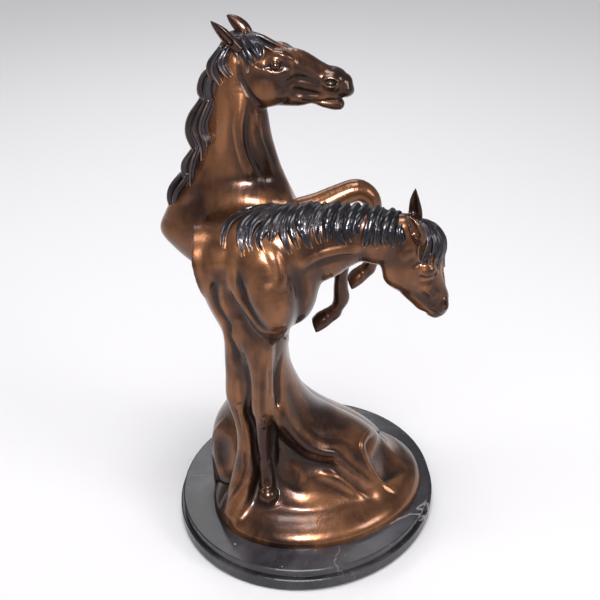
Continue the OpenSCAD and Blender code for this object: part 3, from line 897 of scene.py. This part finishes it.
REAR_CHEST = [(-122, 30, 412, 12, 12), (-100, 21, 424, 15, 16), (-76, 16, 429, 16, 16),
    (-52, 16, 428, 16, 16),
              (-32, 22, 424, 13, 13)]
REAR_SKULL = [
    (-80, 44, 583, 19, 14),
    (-62, 44, 583, 23, 18.5),
    (-45, 44, 582, 22, 21),
    (-28, 44, 581, 20, 20.5),
    (-12, 44, 580, 17.5, 16.5),
    (4, 44, 572.5, 15.5, 14.5),
    (18, 44, 566, 14.5, 13.5),
    (29, 44, 563, 15, 13.5),
    (36, 44, 560, 12.5, 12),
]
REAR_JAW = [
    (-50, 44, 558, 22, 17),
    (-30, 44, 553, 18, 15.5),
    (-12, 44, 548, 13, 13.5),
    (4, 44, 548, 10, 11.5),
    (18, 44, 541.5, 8.5, 10),
    (28, 44, 538, 7.5, 9.5),
    (33, 44, 537, 6.5, 8.5),
]
REAR_NEAR_LEG = [
    (-20, 30, 392, 24, 18),
    (10, 28, 398, 19, 15),
    (36, 28, 400, 15, 13),
    (46, 29, 391, 13.5, 12.5),
    (46, 30, 376, 11, 11),
    (43, 32, 350, 9, 9.5),
    (40, 33, 325, 8, 8.5),
    (40, 34, 305, 9, 9),
    (41, 35, 291, 10, 9.5),
    (37, 35, 279, 8, 8),
    (31, 35, 269, 8, 8),
]
REAR_FAR_LEG = [
    (-22, 67, 381, 26, 20),
    (10, 72, 394, 20, 17),
    (36, 77, 408, 15, 14),
    (58, 80, 415, 14, 13),
    (73, 80, 408, 12, 12),
    (79, 80, 392, 11, 11),
    (80, 80, 362, 8.5, 9),
    (80, 80, 335, 7.5, 8),
    (80, 80, 318, 9, 9),
    (75, 80, 306, 8, 8),
]


def rear_bulk(clay):
    """The rear casting's foot, torso, neck and the roll of its near chest, without their detail."""
    clay.stack(REAR_MASS)
    clay.limb(REAR_NECK, blend=10)
    clay.limb(REAR_CHEST, blend=18)


def rear_foot(clay):
    """The hollowed leaf on the left of the rear foot, with its thin edge."""
    clay.draw([(-104, 140), (-108, 112), (-106, 82), (-102, 52)], 24, -4.5, fade=0.3)
    clay.draw([(-100, 160), (-112, 146), (-119, 130), (-122, 107), (-123, 74), (-119, 52),
        (-111, 34)], 5, 1.8, fade=0.15)


def rear_throat(clay):
    """The cords of the neck: ridge, groove and windpipe on each side, and a soft raised band near the back of
    the neck.
    """
    for side in (-1, 1):
        for line, radius, height in (
                ([(-69, 566), (-74, 545), (-78, 522), (-77, 505), (-74, 488), (-68, 468),
                 (-60, 450)], 7.5, 4.6),
                ([(-64, 556), (-68, 534), (-70, 513), (-69, 497), (-63, 480), (-54, 460),
                 (-44, 440)], 4.5, -4.2),
                ([(-58, 546), (-58, 522), (-57, 505), (-53, 491), (-46, 474), (-38, 458)], 8, 4.6),
                ([(-66, 550), (-70, 530), (-72, 512), (-71, 498), (-65, 480), (-56, 461)], 1.8, 0.9),
                ([(-92, 560), (-96, 530), (-98, 500), (-100, 476)], 10, 1.6),
        ):
            clay.stroke(line, radius, height, side, fade=0.45)


def rear_head(clay):
    """Cheek, eye, nostril, lips and the long face of the rearing head."""
    clay.limb(REAR_SKULL, blend=9)
    clay.limb(REAR_JAW, blend=7)
    clay.limb([(-18, 44, 562, 11, 15), (0, 44, 559, 10, 13), (16, 44, 554, 8, 11.8),
        (28, 44, 550, 6, 10.6)], blend=5)
    clay.ball((38, 44, 554), (12, 11.5, 8.5), (0, 12, 0), blend=4)
    for side in (-1, 1):
        clay.ball((-48, REAR_PLANE + side * 9, 560), (25, 13.5, 23.5), blend=4)
        clay.ball((-31, REAR_PLANE + side * 14, 594), (13, 6.5, 6.5), (0, 8, 0), blend=8)
        clay.ball((24, REAR_PLANE + side * 7, 567), (12, 7.5, 9), blend=6)
        for line, radius, height in (
                ([(-76, 601), (-76, 589), (-74, 576), (-69, 563), (-62, 552), (-53, 544),
                 (-42, 538)], 5, -1.9),
                ([(-26, 578), (-31, 573), (-25, 567), (-23, 557), (-28, 549), (-36, 542)], 8, 1.4),
                ([(-12, 566), (-13, 556), (-16, 548)], 11, -1.4),
                ([(-26, 572), (-14, 566), (0, 563), (12, 559), (22, 556)], 8, 1.0),
                ([(-20, 578), (-8, 572), (7, 567), (17, 560)], 6.5, -0.8),
                ([(-12, 557), (0, 555), (14, 553), (26, 551)], 7, -0.4),
                ([(-8, 549), (8, 547.5), (24, 548), (36, 548)], 5.5, 1.2),
                ([(-14, 548), (-8, 545.5), (2, 544), (14, 544), (28, 545), (40, 546)], 2.6, -1.3),
                ([(8, 540), (18, 538), (30, 537)], 6, 1.0),
                ([(-16, 594), (-4, 588), (10, 580), (22, 575)], 8, -1.0),
                ([(38, 562), (43, 554), (40, 549)], 7, 1.2),
        ):
            clay.stroke(line, radius, height, side)
        socket = clay.seat([(-33, 587)], side)[0]
        clay.ball(socket, (12, 3.6, 7.2), (0, 5, 0), blend=5, dig=True)
        clay.ball((-36.5, socket[1] - side * 2.6, 586.3), (5.6, 5.4, 5.4), blend=0.9)
        clay.ball((-27.5, socket[1] + side * 0.8, 586), (3.6, 2.6, 2.6), (0, 12, 0), blend=1.5, dig=True)
        clay.ball((-46, socket[1] + side * 0.2, 584.4), (3.6, 2.2, 1.6), (0, -12, 0), blend=1.5, dig=True)
        for line, radius, height in (
                ([(-48, 584), (-44, 589.5), (-38, 592.5), (-31, 591.5), (-25, 587.5)], 3.6, 1.6),
                ([(-48, 588), (-42, 594.5), (-34, 596.5), (-26, 593)], 3.6, -0.7),
                ([(-47, 582.6), (-42, 579.8), (-36, 578.8), (-29, 580.6), (-23, 584)], 3.8, 1.2),
                ([(-50, 594), (-40, 601), (-28, 600), (-18, 594)], 8, 1.2),
                ([(-48, 583), (-54, 585), (-60, 588)], 3.0, -0.8),
        ):
            clay.stroke(line, radius, height, side)
        ring(clay, (22.8, 566.2), (7.6, 4.8), 1.4, side, turn=-3)
    clay.limb(tube([(44, 24, 543.6), (44, 34, 543.8), (44, 54, 543.8), (44, 64, 543.6)], 1.4, 1.4),
        blend=1.5, dig=True)


def rear_forelock(clay):
    """Hair from the poll, blown back over the forehead, with locks that hang beside the eye."""
    clay.limb([(-88, 44, 600, 9, 11), (-72, 44, 604, 9, 13), (-56, 44, 603, 8, 13),
        (-42, 44, 600, 5, 10)], blend=3)
    for k, out in enumerate((-13, -9, -5, -1, 3, 7, 11)):
        drop = abs(out) * 0.36
        short = 7 * (k % 3)
        path = [(-80, REAR_PLANE + out * 0.4, 608 - drop * 0.4),
            (-68, REAR_PLANE + out * 0.8, 613.5 - drop * 0.7),
                (-54 - short * 0.3, REAR_PLANE + out, 614 - drop),
                 (-40 - short * 0.6, REAR_PLANE + out * 1.1, 607 - drop),
                (-28 - short * 0.8, REAR_PLANE + out * 0.9, 601.5 - drop),
                 (-16 - short, REAR_PLANE + out * 0.5, 597 - drop)]
        strands(clay, path, 3, 1.8, 1.7, 300 + k, across=(0, 1, 0))
    for k, out in enumerate((-10, -5, 0, 5, 10)):
        path = [(-72, REAR_PLANE + out * 0.4, 612), (-80, REAR_PLANE + out * 0.9, 613.5),
                (-88, REAR_PLANE + out, 610), (-95, REAR_PLANE + out, 602)]
        strands(clay, path, 2, 2.6, 2.3, 340 + k)
    hanging = (
        [(-76, 6, 613), (-71, 13, 609), (-66, 18, 602), (-62, 20.5, 594), (-60, 21.5, 587)],
        [(-70, 6, 614), (-64, 13, 610), (-58, 18, 604), (-55, 20.5, 597), (-56, 22, 590)],
        [(-64, 6, 614), (-57, 12, 610), (-51, 17, 604), (-50, 20, 598), (-52, 21, 593)],
        [(-80, 6, 611), (-76, 12, 606), (-71, 17, 598), (-67, 18.5, 588), (-66, 19.5, 578)],
        [(-82, 6, 609), (-80, 12, 603), (-77, 15, 595), (-75, 17, 587)],
    )
    for k, line in enumerate(hanging):
        for side, path in both_sides(REAR_PLANE, line):
            strands(clay, path, 3, 2.1, 1.7, 400 + 10 * k + side, across=(0.8, 0, 0.5))


def rear_mane(clay):
    """A string of S-shaped tufts down the crest, on both sides of the neck."""
    crest = [(-86, 602), (-96, 586), (-101, 566), (-107, 545), (-113, 522), (-119, 500), (-124, 480),
        (-131, 458),
             (-142, 438), (-150, 420)]
    clay.limb([(x, REAR_PLANE, z, 8, 9) for x, z in crest], blend=3)
    tufts = (
        [(-91, 8, 606), (-98, 9, 597), (-104.5, 10, 588), (-106, 11, 578), (-103, 12, 568)],
        [(-89, 10, 604), (-96, 12, 595), (-101, 14, 585), (-100, 15, 575), (-95, 16, 564)],
        [(-86, 12, 603), (-91, 15, 595), (-93, 17, 586), (-88, 19, 578), (-84, 20, 574)],
        [(-99, 2, 582), (-110, 4, 576), (-117, 6, 565), (-118, 7, 553), (-112, 9, 541)],
        [(-98, 6, 578), (-107, 9, 570), (-111, 11, 558), (-109, 12, 546), (-108, 12, 536)],
        [(-109, 4, 556), (-119, 5, 542), (-128, 6, 529), (-133, 7, 516), (-134, 8, 504), (-130, 9, 492),
         (-125, 10, 479)],
        [(-107, 8, 552), (-115, 9, 538), (-122, 10, 524), (-125, 11, 512), (-122, 13, 500), (-119, 13, 489),
         (-120, 13, 475)],
        [(-106, 11, 546), (-112, 13, 532), (-117, 15, 519), (-116, 16, 508), (-112, 17, 500),
         (-112, 16, 494)],
        [(-122, 4, 496), (-131, 6, 484), (-139, 7, 472), (-141, 8, 459), (-138, 9, 446), (-135, 10, 433)],
        [(-121, 8, 490), (-127, 11, 478), (-131, 12, 466), (-133, 13, 453), (-133, 12, 438)],
        [(-136, 3, 464), (-147, 4, 453), (-157, 5, 440), (-161, 5, 428), (-160, 6, 417), (-155, 8, 407)],
        [(-134, 8, 458), (-143, 10, 446), (-151, 11, 435), (-154, 11, 424), (-150, 12, 413)],
    )
    for k, line in enumerate(tufts):
        for side, path in both_sides(REAR_PLANE, line):
            if side > 0:
                path = [(x + 2 + 1.5 * math.sin(k), y + 2, z - 4) for x, y, z in path]
            strands(clay, path, 1, 1.0, 2.6, 480 + k)
            strands(clay, path, 5, 2.7, 1.65, 500 + 10 * k + side, 0.3, (0.8, 0.35, 0.3), 1.1)


# ---------------------------------------------------------------- looks

class Look:
    """A procedural material being wired up around its Principled shader."""

    def __init__(self, name, **fixed):
        self.material = bpy.data.materials.new(name)
        self.material.use_nodes = True
        self.tree = self.material.node_tree
        self.shader = self.tree.nodes["Principled BSDF"]
        for socket, value in fixed.items():
            self.shader.inputs[socket.replace("_", " ")].default_value = value
        self.place = self.add("ShaderNodeTexCoord").outputs["Object"]

    def add(self, kind, settings=None, **links):
        node = self.tree.nodes.new(kind)
        for key, value in (settings or {}).items():
            setattr(node, key, value)
        for key, value in links.items():
            socket = node.inputs[int(key[1:])] if key[0] == "i" and key[1:].isdigit() else node.inputs[key]
            if isinstance(value, bpy.types.NodeSocket):
                self.tree.links.new(value, socket)
            else:
                socket.default_value = value
        return node

    def noise(self, scale, detail=4.0, rough=0.55, stretch=(1, 1, 1), distortion=0.0):
        """Noise between 0 and 1, its grain given in cycles per metre and drawn out along an axis."""
        scaled = self.add("ShaderNodeMapping", Vector=self.place, Scale=stretch)
        out = self.add("ShaderNodeTexNoise", Vector=scaled.outputs[0], Scale=scale, Detail=detail,
            Roughness=rough,
                       Distortion=distortion)
        return out.outputs["Fac"]

    def math(self, kind, a, b=0.0, c=0.0):
        return self.add("ShaderNodeMath", {"operation": kind}, i0=a, i1=b, i2=c).outputs[0]

    def span(self, value, low, high, to_low=0.0, to_high=1.0):
        return self.add("ShaderNodeMapRange", {"interpolation_type": "SMOOTHSTEP"}, Value=value,
                        **{"From Min": low, "From Max": high, "To Min": to_low,
                            "To Max": to_high}).outputs[0]

    def mix(self, share, first, second):
        node = self.tree.nodes.new("ShaderNodeMix")
        node.data_type = "RGBA"
        for socket, value in ((node.inputs[0], share), (node.inputs[6], first), (node.inputs[7], second)):
            if isinstance(value, bpy.types.NodeSocket):
                self.tree.links.new(value, socket)
            else:
                socket.default_value = (*value, 1) if isinstance(value, tuple) else value
        return node.outputs[2]

    def wear(self, name):
        """How far the skin stands out of (+) or lies in (-) its surroundings, as measured from the clay."""
        return self.add("ShaderNodeAttribute", {"attribute_name": name}).outputs["Fac"]

    def paint(self, colour, rough, height=None, depth=0.0):
        self.tree.links.new(colour, self.shader.inputs["Base Color"])
        self.tree.links.new(rough, self.shader.inputs["Roughness"])
        if height is not None:
            bump = self.add("ShaderNodeBump", Strength=1.0, Distance=depth, Height=height)
            self.tree.links.new(bump.outputs[0], self.shader.inputs["Normal"])
        return self.material


def bronze_look(name, recess, body, warm, edge, rub, gloss, fine_edge=(0.45, 1.30)):
    """Patinated bronze: dark in the hollows, brown over the body, rubbed to copper on edges and swells."""
    look = Look(name, Metallic=0.75, IOR=1.5, Coat_Weight=0.30, Coat_Roughness=0.09)
    fine = look.wear("fine_wear")
    broad = look.wear("broad_wear")
    cloud = look.noise(9, 4, 0.55)
    streak = look.noise(30, 5, 0.62, (1, 1, 0.3), 0.6)
    speck = look.noise(420, 3, 0.7)
    tone = look.math("ADD", look.math("MULTIPLY", cloud, 0.62), look.math("MULTIPLY", streak, 0.38))
    patina = look.span(tone, 0.36, 0.64)
    swell = look.math("MULTIPLY_ADD", look.span(broad, -0.03, 0.06),
        0.46, look.math("MULTIPLY", patina, rub))
    swell = look.math("SUBTRACT", swell, look.span(broad, 0.06, 0.15, 0.0, 0.34))
    colour = look.mix(look.span(swell, 0.25, 1.15), body, warm)
    colour = look.mix(look.span(patina, 0.42, 0.0, 0.0, 0.55), colour, recess)
    hollow = look.math("MAXIMUM", look.span(fine, -0.03, -0.35), look.span(broad, -0.015, -0.12))
    colour = look.mix(look.math("MULTIPLY", hollow, 0.88), colour, recess)
    ridge = look.math("MULTIPLY", look.span(look.math("MULTIPLY_ADD", speck, 0.1, fine), *fine_edge),
                      look.span(cloud, 0.30, 0.62, 0.35, 1.0))
    colour = look.mix(ridge, colour, edge)
    grain = look.math("MULTIPLY_ADD", speck, 0.07, look.math("MULTIPLY", streak, 0.10))
    rough = look.math("ADD", look.math("MULTIPLY_ADD", hollow, 0.22, gloss - 0.09), grain)
    bumps = look.math("MULTIPLY_ADD", look.noise(150, 3, 0.6), 0.7, look.math("MULTIPLY", speck, 0.3))
    return look.paint(colour, rough, bumps, 0.0003)


def marble_look():
    """Near-black polished marble with grey clouds, thin pale veins and small chips of calcite."""
    look = Look("marble", Specular_IOR_Level=0.36, Coat_Weight=0.15, Coat_Roughness=0.08)
    cloud = look.noise(7, 6, 0.62, distortion=0.8)
    fine = look.noise(60, 5, 0.7)
    colour = look.mix(look.span(cloud, 0.42, 0.72), (0.0085, 0.0078, 0.0095), (0.038, 0.035, 0.041))
    for scale, width, strength, turn in ((6, 0.007, 0.42, 0.8), (11, 0.006, 0.22, 1.3)):
        field = look.noise(scale, 4, 0.50, (1.0, turn, 0.25), 0.6)
        line = look.span(look.math("ABSOLUTE", look.math("SUBTRACT", field, 0.5)), width, 0.0)
        broken = look.span(look.noise(scale * 1.7, 3, 0.5), 0.50, 0.66)
        vein = look.math("MULTIPLY", look.math("MULTIPLY", line, broken), strength)
        colour = look.mix(vein, colour, (0.33, 0.31, 0.33))
    cells = look.add("ShaderNodeTexVoronoi", Vector=look.place, Scale=75.0)
    fleck = look.math("MULTIPLY", look.span(cells.outputs["Distance"], 0.13, 0.05),
                      look.span(look.noise(26, 2, 0.5), 0.60, 0.68))
    colour = look.mix(look.math("MULTIPLY", fleck, 0.6), colour, (0.40, 0.38, 0.39))
    rough = look.math("MULTIPLY_ADD", fine, 0.16, look.math("MULTIPLY_ADD", cloud, 0.12, 0.10))
    return look.paint(colour, rough, look.math("MULTIPLY_ADD", fleck, -0.6, look.math("MULTIPLY", fine,
        0.4)), 0.00025)


def metal_look(name, base, dull, rough):
    """Turned hardware: fine lathe lines, dull film and brighter rubs."""
    look = Look(name, Metallic=1.0)
    film = look.noise(90, 4, 0.6)
    lines = look.noise(900, 2, 0.5, (1, 1, 0.08))
    colour = look.mix(look.span(film, 0.40, 0.68), base, dull)
    value = look.math("MULTIPLY_ADD", film, 0.22, look.math("MULTIPLY_ADD", lines, 0.12, rough))
    return look.paint(colour, value, lines, 0.00008)


def felt_look():
    """Pressed wool felt: a matted nap of short fibres."""
    look = Look("felt", Sheen_Weight=0.35, Sheen_Roughness=0.6)
    nap = look.noise(1400, 4, 0.7, (1, 1, 3), 1.5)
    patch = look.noise(70, 3, 0.5)
    colour = look.mix(look.span(nap, 0.3, 0.75), (0.008, 0.016, 0.011), (0.030, 0.055, 0.038))
    colour = look.mix(look.math("MULTIPLY", patch, 0.4), colour, (0.014, 0.022, 0.017))
    return look.paint(colour, look.math("MULTIPLY_ADD", nap, 0.1, 0.85), nap, 0.0006)


def floor_look():
    """Pale matt backdrop paper."""
    look = Look("studio_floor")
    tone = look.noise(300, 3, 0.6)
    colour = look.mix(tone, (0.74, 0.725, 0.735), (0.77, 0.755, 0.765))
    return look.paint(colour, look.math("MULTIPLY_ADD", tone, 0.1, 0.75))


BRONZE = bronze_look("bronze", recess=(0.009, 0.0048, 0.0044), body=(0.043, 0.0175, 0.0100),
                     warm=(0.215, 0.089, 0.038), edge=(0.54, 0.28, 0.145), rub=0.60, gloss=0.26)
EAR = bronze_look("ear_bronze", recess=(0.009, 0.005, 0.0045), body=(0.032, 0.0135, 0.009),
                  warm=(0.070, 0.031, 0.019), edge=(0.26, 0.13, 0.07),
                      rub=0.5, gloss=0.25, fine_edge=(1.5, 2.8))
DARK = bronze_look("dark_bronze", recess=(0.002, 0.002, 0.0030), body=(0.012, 0.0108, 0.0150),
                   warm=(0.050, 0.039, 0.042), edge=(0.52, 0.245, 0.11),
                       rub=0.6, gloss=0.33, fine_edge=(0.50, 1.25))
MARBLE = marble_look()


# ---------------------------------------------------------------- the castings

STEP = 1.65
FINE = 0.95
HAIR = 0.78
SEAM_GAP = 1.3


def tilted_cut(place, angle):
    """Both sides of a cutting plane at a place, its normal leaning from +Z towards +X by an angle."""
    normal = Vector((math.sin(math.radians(angle)), 0, math.cos(math.radians(angle))))
    return (Vector(place), normal), (Vector(place), -normal)


below_front, above_front = tilted_cut((14, 0, 400), 80)
below_rear, above_rear = tilted_cut((-80, 0, 432), 6)
under_foot = (Vector((0, 0, FOOT_Z)), Vector((0, 0, -1)))


def cast(node, clay, material, cuts=()):
    """Skins the clay, trims it and puts it in the place of a CAD node."""
    piece = mesh_piece(node + "_cast", clay, cuts)
    piece.data.materials.append(material)
    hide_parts(node)
    return piece


def model_front_body(clay):
    front_bulk(clay)
    front_shoulder(clay)
    front_legs(clay)
    front_drapery(clay)
    front_hoof(clay)


def front_castings():
    clay = Clay((-145, -135, 24), (155, 110, 462), STEP)
    model_front_body(clay)
    ground = clay
    cast("front_body", clay, BRONZE, (under_foot, (*below_front, (-20, -120, 240),
        (160, 60, 470))))
    clay = Clay((-20, -80, 296), (174, 4, 462), FINE)
    front_bulk(clay)
    front_shoulder(clay)
    front_head(clay)
    cast("front_neck_head", clay, BRONZE, (above_front,))
    clay = Clay((-112, -100, 396), (124, 14, 466), HAIR)
    front_mane(clay, ground)
    cast("front_mane", clay, DARK)
    clay = Clay((108, -68, 372), (162, -4, 444), HAIR)
    front_forelock(clay)
    cast("front_forelock", clay, DARK)
    clay = Clay((92, -76, 404), (136, -38, 462), HAIR)
    ear(clay, [(119, -53, 416), (118, -58, 428), (112, -62, 441), (104, -64, 451)], (8, 10, 7.5, 1.8),
        (5, 6.5, 5, 1.4), (-0.70, -0.7, 0.1), 0.7)
    cast("front_near_ear", clay, BRONZE)
    clay = Clay((98, -36, 406), (140, -6, 474), HAIR)
    ear(clay, [(118, -21, 418), (118, -20, 434), (116.5, -20, 449), (116, -20, 463)], (8.5, 8.5, 6, 1.2),
        (5, 5.5, 4, 1.2), (-0.6, -0.8, 0.1))
    cast("front_far_ear", clay, EAR)


def rear_castings():
    clay = Clay((-190, -110, 24), (158, 145, 500), STEP)
    front_copy = Clay((-190, -110, 24), (158, 145, 500), STEP)
    rear_bulk(clay)
    rear_foot(clay)
    rear_throat(clay)
    model_front_body(front_copy)
    clay.d = np.maximum(clay.d, SEAM_GAP - front_copy.d)
    cast("rear_body", clay, BRONZE, (under_foot, below_rear))
    clay = Clay((-175, -12, 390), (62, 100, 626), FINE)
    rear_bulk(clay)
    rear_throat(clay)
    rear_head(clay)
    cast("rear_neck_head", clay, BRONZE, (above_rear,))
    clay = Clay((-175, 8, 396), (-72, 88, 622), HAIR)
    rear_mane(clay)
    cast("rear_mane", clay, DARK)
    clay = Clay((-104, 10, 574), (-10, 80, 630), HAIR)
    rear_forelock(clay)
    cast("rear_forelock", clay, DARK)
    clay = Clay((-114, 14, 592), (-64, 44, 642), HAIR)
    ear(clay, [(-75, 29, 603), (-83, 28, 611), (-91, 28, 620), (-98, 28, 627), (-103, 28, 632)],
        (5, 6.5, 6, 3.8, 1.3), (4.5, 5.5, 4.6, 2.6, 1.2), (0.1, -1, -0.3))
    cast("rear_near_ear", clay, EAR)
    clay = Clay((-100, 44, 596), (-52, 76, 640), HAIR)
    ear(clay, [(-66, 59, 606), (-71, 60, 615), (-78, 61, 622), (-84, 61, 627), (-88, 61, 630)],
        (7, 8, 7.2, 4.6, 1.6), (4.5, 5.5, 4.6, 2.6, 1.2), (0.1, 1, -0.3))
    cast("rear_far_ear", clay, EAR)
    for node, rows, low, high, toward, heel in (
            ("rear_near_foreleg", REAR_NEAR_LEG, (-46, 4, 232), (66, 58, 422), (-0.80, 0, -0.60),
             (0.5, 0, -0.87)),
            ("rear_far_foreleg", REAR_FAR_LEG, (-52, 40, 262), (98, 104, 434), (-0.75, 0, -0.66),
             (0.55, 0, -0.84))):
        clay = Clay(low, high, FINE)
        clay.limb(rows, blend=0)
        rear_foreleg(clay, rows, toward, heel)
        cast(node, clay, BRONZE)


def rear_foreleg(clay, rows, toward, heel):
    """The fetlock and a wedge-shaped hoof, whose toe points one way and whose flat sole faces another."""
    end = np.array(rows[-1][:3], float)
    toward = np.array(toward, float) / np.linalg.norm(toward)
    sole = np.array(heel, float) / np.linalg.norm(heel)
    across = np.cross(toward, sole)
    clay.limb([(*(end - toward * 2), 9, 9), (*(end + toward * 7), 9.5, 10), (*(end + toward * 12),
        8, 9)], blend=3)
    crown = end + toward * 8
    clay.limb([(*crown, 10, 10.5), (*(crown + toward * 8 + sole * 1), 11.5, 12.5),
               (*(crown + toward * 17 + sole * 3), 11, 13)], blend=0.8, across=across)
    clay.trim(crown + sole * 8, sole, end - 32, end + 32)
    clay.trim(crown + toward * 21, toward + sole * -0.25, end - 36, end + 36)


front_castings()
rear_castings()

FELT = felt_look()
STEEL = metal_look("zinc_steel", (0.55, 0.56, 0.58), (0.36, 0.36, 0.37), 0.34)
BRASS = metal_look("cast_brass", (0.50, 0.36, 0.15), (0.26, 0.17, 0.08), 0.46)
for node, material in (("marble_base", MARBLE), ("base_felt", FELT), ("front_strap", STEEL),
    ("rear_lugs", BRASS),
                       ("studs", STEEL), ("washers", STEEL), ("nuts", STEEL), ("seam_dowels", STEEL)):
    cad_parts[node].data.materials.clear()
    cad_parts[node].data.materials.append(material)
# ---------------------------------------------------------------- studio

MM = 0.001
CAMERA_PITCH = 31.4
FOCAL_PIXELS = 967
PICTURE_PIXELS = 600
SENSOR = 36


def studio():
    """Pale floor, soft light and the camera."""
    bpy.ops.mesh.primitive_plane_add(size=8, location=(0, 0, 0))
    floor = bpy.context.object
    floor.name = "studio_floor"
    floor.data.materials.append(floor_look())
    world = bpy.data.worlds.new("studio")
    world.use_nodes = True
    world.node_tree.nodes["Background"].inputs["Color"].default_value = (0.86, 0.88, 0.93, 1)
    world.node_tree.nodes["Background"].inputs["Strength"].default_value = 0.32
    bpy.context.scene.world = world
    all_but_floor = bpy.data.collections.new("all_but_floor")
    all_but_floor.objects.link(floor)
    all_but_floor.collection_objects[0].light_linking.link_state = "EXCLUDE"
    wash = bpy.data.objects.new("wash", bpy.data.lights.new("wash", "SUN"))
    wash.data.energy = 1.05
    wash.data.angle = math.radians(70)
    wash.rotation_euler = (math.radians(12), math.radians(-8), 0)
    bpy.context.scene.collection.objects.link(wash)
    only_floor = bpy.data.collections.new("only_floor")
    only_floor.objects.link(floor)
    wash.light_linking.receiver_collection = only_floor
    for name, place, power, size in (("key", (0.07, -1.10, 1.10), 38, 0.26), ("top", (0.0, -0.2, 2.3),
        24, 0.8),
                                     ("fill", (1.35, -0.75, 1.0), 9, 0.5), ("side", (-1.7, -0.1, 1.4),
                                      6, 0.5),
                                     ("back", (-0.2, 1.6, 1.7), 9, 1.0)):
        light = bpy.data.lights.new(name, "AREA")
        light.energy = power
        light.size = size
        lamp = bpy.data.objects.new(name, light)
        lamp.location = place
        lamp.rotation_euler = (Vector((0, 0, 0.3)) - Vector(place)).to_track_quat("-Z", "Y").to_euler()
        bpy.context.scene.collection.objects.link(lamp)
        if name == "key":
            lamp.light_linking.receiver_collection = all_but_floor
    lens = bpy.data.cameras.new("camera")
    lens.sensor_width = SENSOR
    lens.lens = SENSOR * FOCAL_PIXELS / PICTURE_PIXELS
    camera = bpy.data.objects.new("camera", lens)
    camera.location = EYE * MM
    camera.rotation_euler = (math.radians(90 - CAMERA_PITCH), 0, 0)
    bpy.context.scene.collection.objects.link(camera)
    bpy.context.scene.camera = camera
    bpy.context.scene.view_settings.view_transform = "Standard"


studio()
